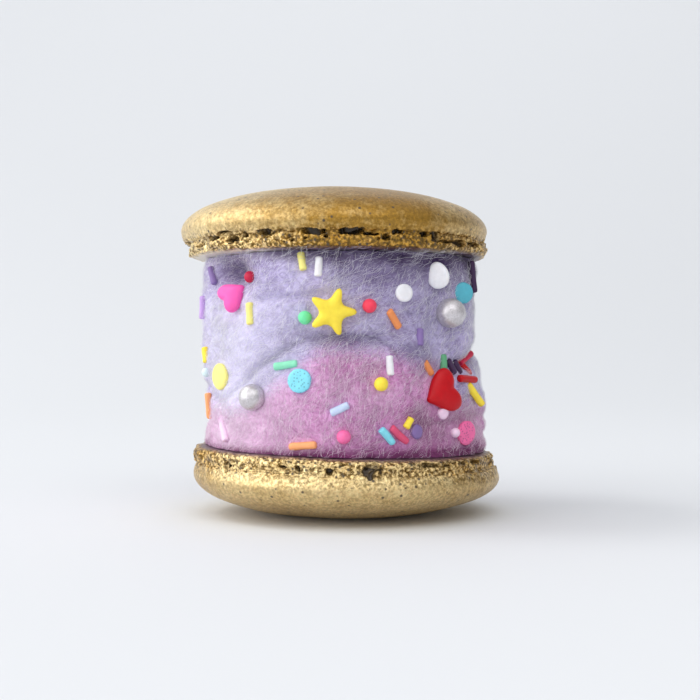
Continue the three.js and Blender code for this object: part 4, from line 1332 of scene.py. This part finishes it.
# %% Where strands lie
def strand_roots(group, want):
    """Scattered points, more of them where the wad's colour matches and there is room."""
    lavender, room = (
        add(group, "GeometryNodeInputNamedAttribute", {"data_type": "FLOAT"},
            {"Name": name}).outputs["Attribute"] for name in ("lavender", "room"))
    other = add(group, "ShaderNodeMath", {"operation": "SUBTRACT"}, {0: lavender, 1: want["Lavender"]})
    away = add(group, "ShaderNodeMath", {"operation": "ABSOLUTE"}, {0: other.outputs["Value"]})
    match = add(group, "ShaderNodeMath", {"operation": "SUBTRACT"}, {0: 1.0, 1: away.outputs["Value"]})
    free = add(group, "ShaderNodeMath", {"operation": "MULTIPLY"}, {0: match.outputs["Value"], 1: room})
    density = add(group, "ShaderNodeMath", {"operation": "MULTIPLY"},
                  {0: free.outputs["Value"], 1: want["Density"]})
    return add(group, "GeometryNodeDistributePointsOnFaces", {"distribute_method": "RANDOM"},
               {"Mesh": want["Geometry"], "Density": density.outputs["Value"], "Seed": want["Seed"]})


def laid_lines(group, want, roots):
    """A short straight line on every root, turned to the pull of the sugar, with its lot."""
    flow = add(group, "GeometryNodeInputNamedAttribute", {"data_type": "FLOAT_VECTOR"}, {"Name": "flow"})
    along = add(group, "FunctionNodeAlignRotationToVector", {"axis": "X"},
                {"Vector": flow.outputs["Attribute"]})
    back = add(group, "ShaderNodeMath", {"operation": "MULTIPLY"}, {0: want["Spread"], 1: -1.0})
    turn = add(group, "FunctionNodeRandomValue", {"data_type": "FLOAT"},
               {2: back.outputs["Value"], 3: want["Spread"], "Seed": want["Seed"]})
    about = add(group, "FunctionNodeAxisAngleToRotation", {},
                {"Axis": roots.outputs["Normal"], "Angle": turn.outputs[1]})
    turned = add(group, "FunctionNodeRotateRotation", {"rotation_space": "GLOBAL"},
                 {"Rotation": along.outputs["Rotation"], "Rotate By": about.outputs["Rotation"]})
    line = add(group, "GeometryNodeCurvePrimitiveLine", {}, {"Start": (-0.5, 0, 0), "End": (0.5, 0, 0)})
    stepped = add(group, "GeometryNodeResampleCurve", {},
                  {"Curve": line.outputs["Curve"], "Count": want["Points"]})
    shortest = add(group, "ShaderNodeMath", {"operation": "MULTIPLY"}, {0: want["Length"], 1: 0.5})
    longest = add(group, "ShaderNodeMath", {"operation": "MULTIPLY"}, {0: want["Length"], 1: 1.5})
    reach = add(group, "FunctionNodeRandomValue", {"data_type": "FLOAT"},
                {2: shortest.outputs["Value"], 3: longest.outputs["Value"], "Seed": want["Seed"]})
    laid = add(group, "GeometryNodeInstanceOnPoints", {},
               {"Points": roots.outputs["Points"], "Instance": stepped.outputs["Curve"],
                "Rotation": turned.outputs["Rotation"], "Scale": reach.outputs[1]})
    lot = add(group, "FunctionNodeRandomValue", {"data_type": "FLOAT"},
              {2: 0.0, 3: 1.0, "Seed": want["Seed"]})
    marked = add(group, "GeometryNodeStoreNamedAttribute", {"data_type": "FLOAT", "domain": "INSTANCE"},
                 {"Geometry": laid.outputs["Instances"], "Name": "lot", "Value": lot.outputs[1]})
    return add(group, "GeometryNodeRealizeInstances", {}, {"Geometry": marked.outputs["Geometry"]})


# %% How strands curl and arch
def curled(group, want, curves):
    own = add(group, "GeometryNodeInputNamedAttribute", {"data_type": "FLOAT"}, {"Name": "lot"})
    here = add(group, "GeometryNodeInputPosition").outputs["Position"]
    per_metre = add(group, "ShaderNodeMath", {"operation": "DIVIDE"}, {0: 1.0, 1: want["Curl Size"]})
    apart = add(group, "ShaderNodeMath", {"operation": "MULTIPLY"}, {0: own.outputs["Attribute"], 1: 50.0})
    noise = add(group, "ShaderNodeTexNoise", {"noise_dimensions": "4D"},
                {"Vector": here, "W": apart.outputs["Value"], "Scale": per_metre.outputs["Value"],
                 "Detail": 1.0})
    centred = add(group, "ShaderNodeVectorMath", {"operation": "SUBTRACT"},
                  {0: noise.outputs["Color"], 1: (0.5, 0.5, 0.5)})
    curl = add(group, "ShaderNodeVectorMath", {"operation": "SCALE"},
               {0: centred.outputs["Vector"], "Scale": want["Curl"]})
    return add(group, "GeometryNodeSetPosition", {},
               {"Geometry": curves.outputs["Geometry"], "Offset": curl.outputs["Vector"]})


def pressed(group, want, curves):
    """Back onto the skin, dipping in at both ends and arching by the strand's own share between."""
    here = add(group, "GeometryNodeInputPosition").outputs["Position"]
    nearest = add(group, "GeometryNodeProximity", {"target_element": "FACES"},
                  {0: want["Geometry"], "Sample Position": here})
    facing = add(group, "GeometryNodeInputNormal").outputs["Normal"]
    outward = add(group, "GeometryNodeSampleNearestSurface", {"data_type": "FLOAT_VECTOR"},
                  {"Mesh": want["Geometry"], "Value": facing, "Sample Position": here})
    way_along = add(group, "GeometryNodeSplineParameter").outputs["Factor"]
    arch = add(group, "ShaderNodeMath", {"operation": "PINGPONG"}, {0: way_along, 1: 0.5})
    own = add(group, "GeometryNodeInputNamedAttribute", {"data_type": "FLOAT"}, {"Name": "lot"})
    rise = add(group, "ShaderNodeMath", {"operation": "MULTIPLY"},
               {0: arch.outputs["Value"], 1: own.outputs["Attribute"]})
    share = add(group, "ShaderNodeMath", {"operation": "MULTIPLY_ADD"},
                {0: rise.outputs["Value"], 1: 2.0, 2: 0.08})
    height = add(group, "ShaderNodeMath", {"operation": "MULTIPLY"},
                 {0: share.outputs["Value"], 1: want["Lift"]})
    offset = add(group, "ShaderNodeVectorMath", {"operation": "SCALE"},
                 {0: outward.outputs["Value"], "Scale": height.outputs["Value"]})
    on_skin = add(group, "ShaderNodeVectorMath", {"operation": "ADD"},
                  {0: nearest.outputs["Position"], 1: offset.outputs["Vector"]})
    return add(group, "GeometryNodeSetPosition", {},
               {"Geometry": curves.outputs["Geometry"], "Position": on_skin.outputs["Vector"]})


def strand_tree():
    group, given, result = node_group("sugar_strands", {
        "Density": "NodeSocketFloat",
        "Length": "NodeSocketFloat",
        "Points": "NodeSocketInt",
        "Thickness": "NodeSocketFloat",
        "Curl": "NodeSocketFloat",
        "Curl Size": "NodeSocketFloat",
        "Lift": "NodeSocketFloat",
        "Spread": "NodeSocketFloat",
        "Lavender": "NodeSocketFloat",
        "Seed": "NodeSocketInt",
        "Material": "NodeSocketMaterial",
    })
    want = given.outputs
    roots = strand_roots(group, want)
    curves = laid_lines(group, want, roots)
    curves = curled(group, want, curves)
    curves = pressed(group, want, curves)
    half = add(group, "ShaderNodeMath", {"operation": "MULTIPLY"}, {0: want["Thickness"], 1: 0.5})
    section = add(group, "GeometryNodeCurvePrimitiveCircle", {},
                  {"Resolution": 3, "Radius": half.outputs["Value"]})
    thick = add(group, "GeometryNodeCurveToMesh", {},
                {"Curve": curves.outputs["Geometry"], "Profile Curve": section.outputs["Curve"],
                 "Fill Caps": True})
    whole = add(group, "GeometryNodeRealizeInstances", {}, {"Geometry": thick.outputs["Mesh"]})
    coated = add(group, "GeometryNodeSetMaterial", {},
                 {"Geometry": whole.outputs["Geometry"], "Material": want["Material"]})
    group.links.new(coated.outputs["Geometry"], result.inputs["Geometry"])
    return group


STRANDS = strand_tree()
print("strand tree has", len(STRANDS.nodes), "nodes")


# %% [markdown]
# ## Strand colours
# Clear sugar holds only a trace of dye, so a strand is deeper or paler with its thickness. Plain
# colours on thousands of strands mix in the eye, and lavender blends into pink along the seam by
# itself where both kinds lie together. The strands carry the wad's painted shade and painted light:
# the deeper ones go to a dark shade colour, and on the lit left all turn paler.

# %% Strand material
def sugar_thread(name, deep, pale, shade_colour):
    material, tree, shader = new_material(name)
    lot = add(tree, "ShaderNodeAttribute", {"attribute_name": "lot"}).outputs["Fac"]
    # Painted light: the lit left makes the strands paler, as on the wad
    left_light = add(tree, "ShaderNodeAttribute", {"attribute_name": "pale"}).outputs["Fac"]
    pale_share = add(tree, "ShaderNodeMath", {"operation": "MAXIMUM"}, {0: lot, 1: left_light})
    unshaded = add(tree, "ShaderNodeMix", {"data_type": "RGBA"},
              {"Factor": pale_share.outputs["Value"], "A": linear(deep), "B": linear(pale)})
    painted_shade = add(tree, "ShaderNodeAttribute", {"attribute_name": "painted_shade"}).outputs["Fac"]
    # Painted shade: the deeper strands take most of it, the palest stay white
    takes_shade = add(tree, "ShaderNodeMapRange", {}, {"Value": lot, "From Min": 0.35, "From Max": 0.8,
                                                "To Min": 1.0, "To Max": 0.15})
    shade_taken = add(tree, "ShaderNodeMath", {"operation": "MULTIPLY"}, {0: painted_shade, 1: takes_shade.outputs["Result"]})
    colour = add(tree, "ShaderNodeMix", {"data_type": "RGBA"},
                 {"Factor": shade_taken.outputs["Value"], "A": unshaded.outputs["Result"], "B": linear(shade_colour)})
    tree.links.new(colour.outputs["Result"], shader.inputs["Base Color"])
    shader.inputs["Roughness"].default_value = 0.6
    shader.inputs["IOR"].default_value = 1.5
    return material


# %% Grow the strands
# The last colour of each is the colour of the painted shade
LAVENDER_SUGAR = sugar_thread("lavender_sugar_thread", "#B6A8DA", "#FFFFFF", "#5C467C")
PINK_SUGAR = sugar_thread("pink_sugar_thread", "#CE7EC0", "#FFF3FC", "#A04A86")

# Name, lavender, strands per mm2, points, then length, lift and curl in mm, and spread in degrees
STRAND_KINDS = [
    ("lavender_fuzz", 1.0, 7.3, 3, 0.8, 0.5, 0.7, 90),
    ("lavender_fluff", 1.0, 3.9, 5, 1.6, 0.5, 1.2, 80),
    ("lavender_threads", 1.0, 1.0, 8, 5.0, 0.5, 2.0, 28),
    ("pink_fuzz", 0.0, 11.0, 3, 0.8, 0.5, 0.7, 90),
    ("pink_fluff", 0.0, 4.0, 5, 1.6, 0.5, 1.3, 90),
    ("pink_threads", 0.0, 0.6, 8, 4.0, 0.5, 1.8, 40),
]
STRAND_THICKNESS = 0.031  # mm

for index, (name, lavender, per_mm2, points, length, lift, curl, spread) in enumerate(STRAND_KINDS):
    strands = grown(name, SKIN, STRANDS, {
        "Density": per_mm2 / MM**2,
        "Length": length * MM,
        "Points": points,
        "Thickness": STRAND_THICKNESS * MM,
        "Curl": curl * MM,
        "Curl Size": 1.3 * MM,
        "Lift": lift * MM,
        "Spread": math.radians(spread),
        "Lavender": lavender,
        "Seed": 10 + index,
        "Material": LAVENDER_SUGAR if lavender else PINK_SUGAR,
    })
    node = "lavender_floss" if lavender else "pink_floss"
    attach(strands, "root")
    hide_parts(node)
    print(name, triangle_count(strands), "triangles")

bpy.data.objects.remove(SKIN)


# %% [markdown]
# ## Floor and light
# The photograph is high-key: a white sheet that runs on behind without an edge, and a big soft window
# on the left. The sheet curves up so slowly that its shade hardly changes. A small window higher up
# puts the highlight on the gold dome, a weak light fills the front and one washes the backdrop. The
# room is the world's colour: it grows brighter the more a direction points to the window's side, so
# the gold has something dark and something light to show.

# %% Floor and backdrop
def pale_paper():
    material, tree, shader = new_material("pale_paper")
    shader.inputs["Base Color"].default_value = linear("#E2E4E7")
    shader.inputs["Roughness"].default_value = 0.9
    place = add(tree, "ShaderNodeTexCoord").outputs["Object"]
    tooth = add(tree, "ShaderNodeTexNoise", {}, {"Vector": place, "Scale": 1 / (1.5 * MM), "Detail": 2.0})
    bump = add(tree, "ShaderNodeBump", {},
               {"Strength": 0.03, "Distance": 0.05 * MM, "Height": tooth.outputs["Fac"]})
    tree.links.new(bump.outputs["Normal"], shader.inputs["Normal"])
    return material


def sweep():
    half_width, near, bend, radius = 4000, -1500, 300, 2600
    angles = np.linspace(0, math.pi / 2, 40)
    line = [(near, 0), (bend, 0)]
    line += [(bend + radius * math.sin(a), radius * (1 - math.cos(a))) for a in angles[1:]]
    points = [(side * half_width, y, z) for y, z in line for side in (-1, 1)]
    faces = [[2 * i, 2 * i + 1, 2 * i + 3, 2 * i + 2] for i in range(len(line) - 1)]
    made = make_object("paper_sweep", points, faces)
    made.data.materials.append(pale_paper())
    return made


sweep()


# %% Lights
def area_light(name, place, target, size, watts):
    light = bpy.data.lights.new(name, "AREA")
    light.shape = "RECTANGLE"
    light.size, light.size_y = (s * MM for s in size)
    light.energy = watts
    lamp = bpy.data.objects.new(name, light)
    lamp.location = Vector(place) * MM
    lamp.rotation_euler = (Vector(target) - Vector(place)).to_track_quat("-Z", "Y").to_euler()
    bpy.context.collection.objects.link(lamp)
    return lamp


def pale_room(towards, dark, light):
    """A world that is brightest in one direction and darkest in the other."""
    world = bpy.data.worlds.new("pale_room")
    world.use_nodes = True
    tree = world.node_tree
    way = add(tree, "ShaderNodeTexCoord").outputs["Generated"]
    facing = add(tree, "ShaderNodeVectorMath", {"operation": "DOT_PRODUCT"},
                 {0: way, 1: tuple(Vector(towards).normalized())})
    level = add(tree, "ShaderNodeMapRange", {"interpolation_type": "SMOOTHSTEP"},
                {"Value": facing.outputs["Value"], "From Min": -0.8, "From Max": 0.8,
                 "To Min": dark, "To Max": light})
    background = tree.nodes["Background"]
    background.inputs["Color"].default_value = linear("#FAFBFD")
    tree.links.new(level.outputs["Result"], background.inputs["Strength"])
    return world


LIGHTS = [  # name, place, where it points, size in mm, watts
    ("window", (-1520, -495, 480), (0, 0, 20), (2300, 1600), 19.0),
    ("upper_window", (-750, 120, 960), (0, 0, 40), (440, 300), 2.1),
    ("front_fill", (150, -700, 760), (0, 0, 10), (900, 500), 1.9),
    ("backdrop_wash", (0, 900, 2300), (0, 2500, 1900), (2400, 500), 10.0),
]
for light in LIGHTS:
    area_light(*light)
print(len(LIGHTS), "lights of", [watts for *_, watts in LIGHTS], "W")
bpy.context.scene.world = pale_room((-0.68, -0.45, 0.58), 0.27, 0.95)
bpy.context.scene.view_settings.view_transform = "Standard"
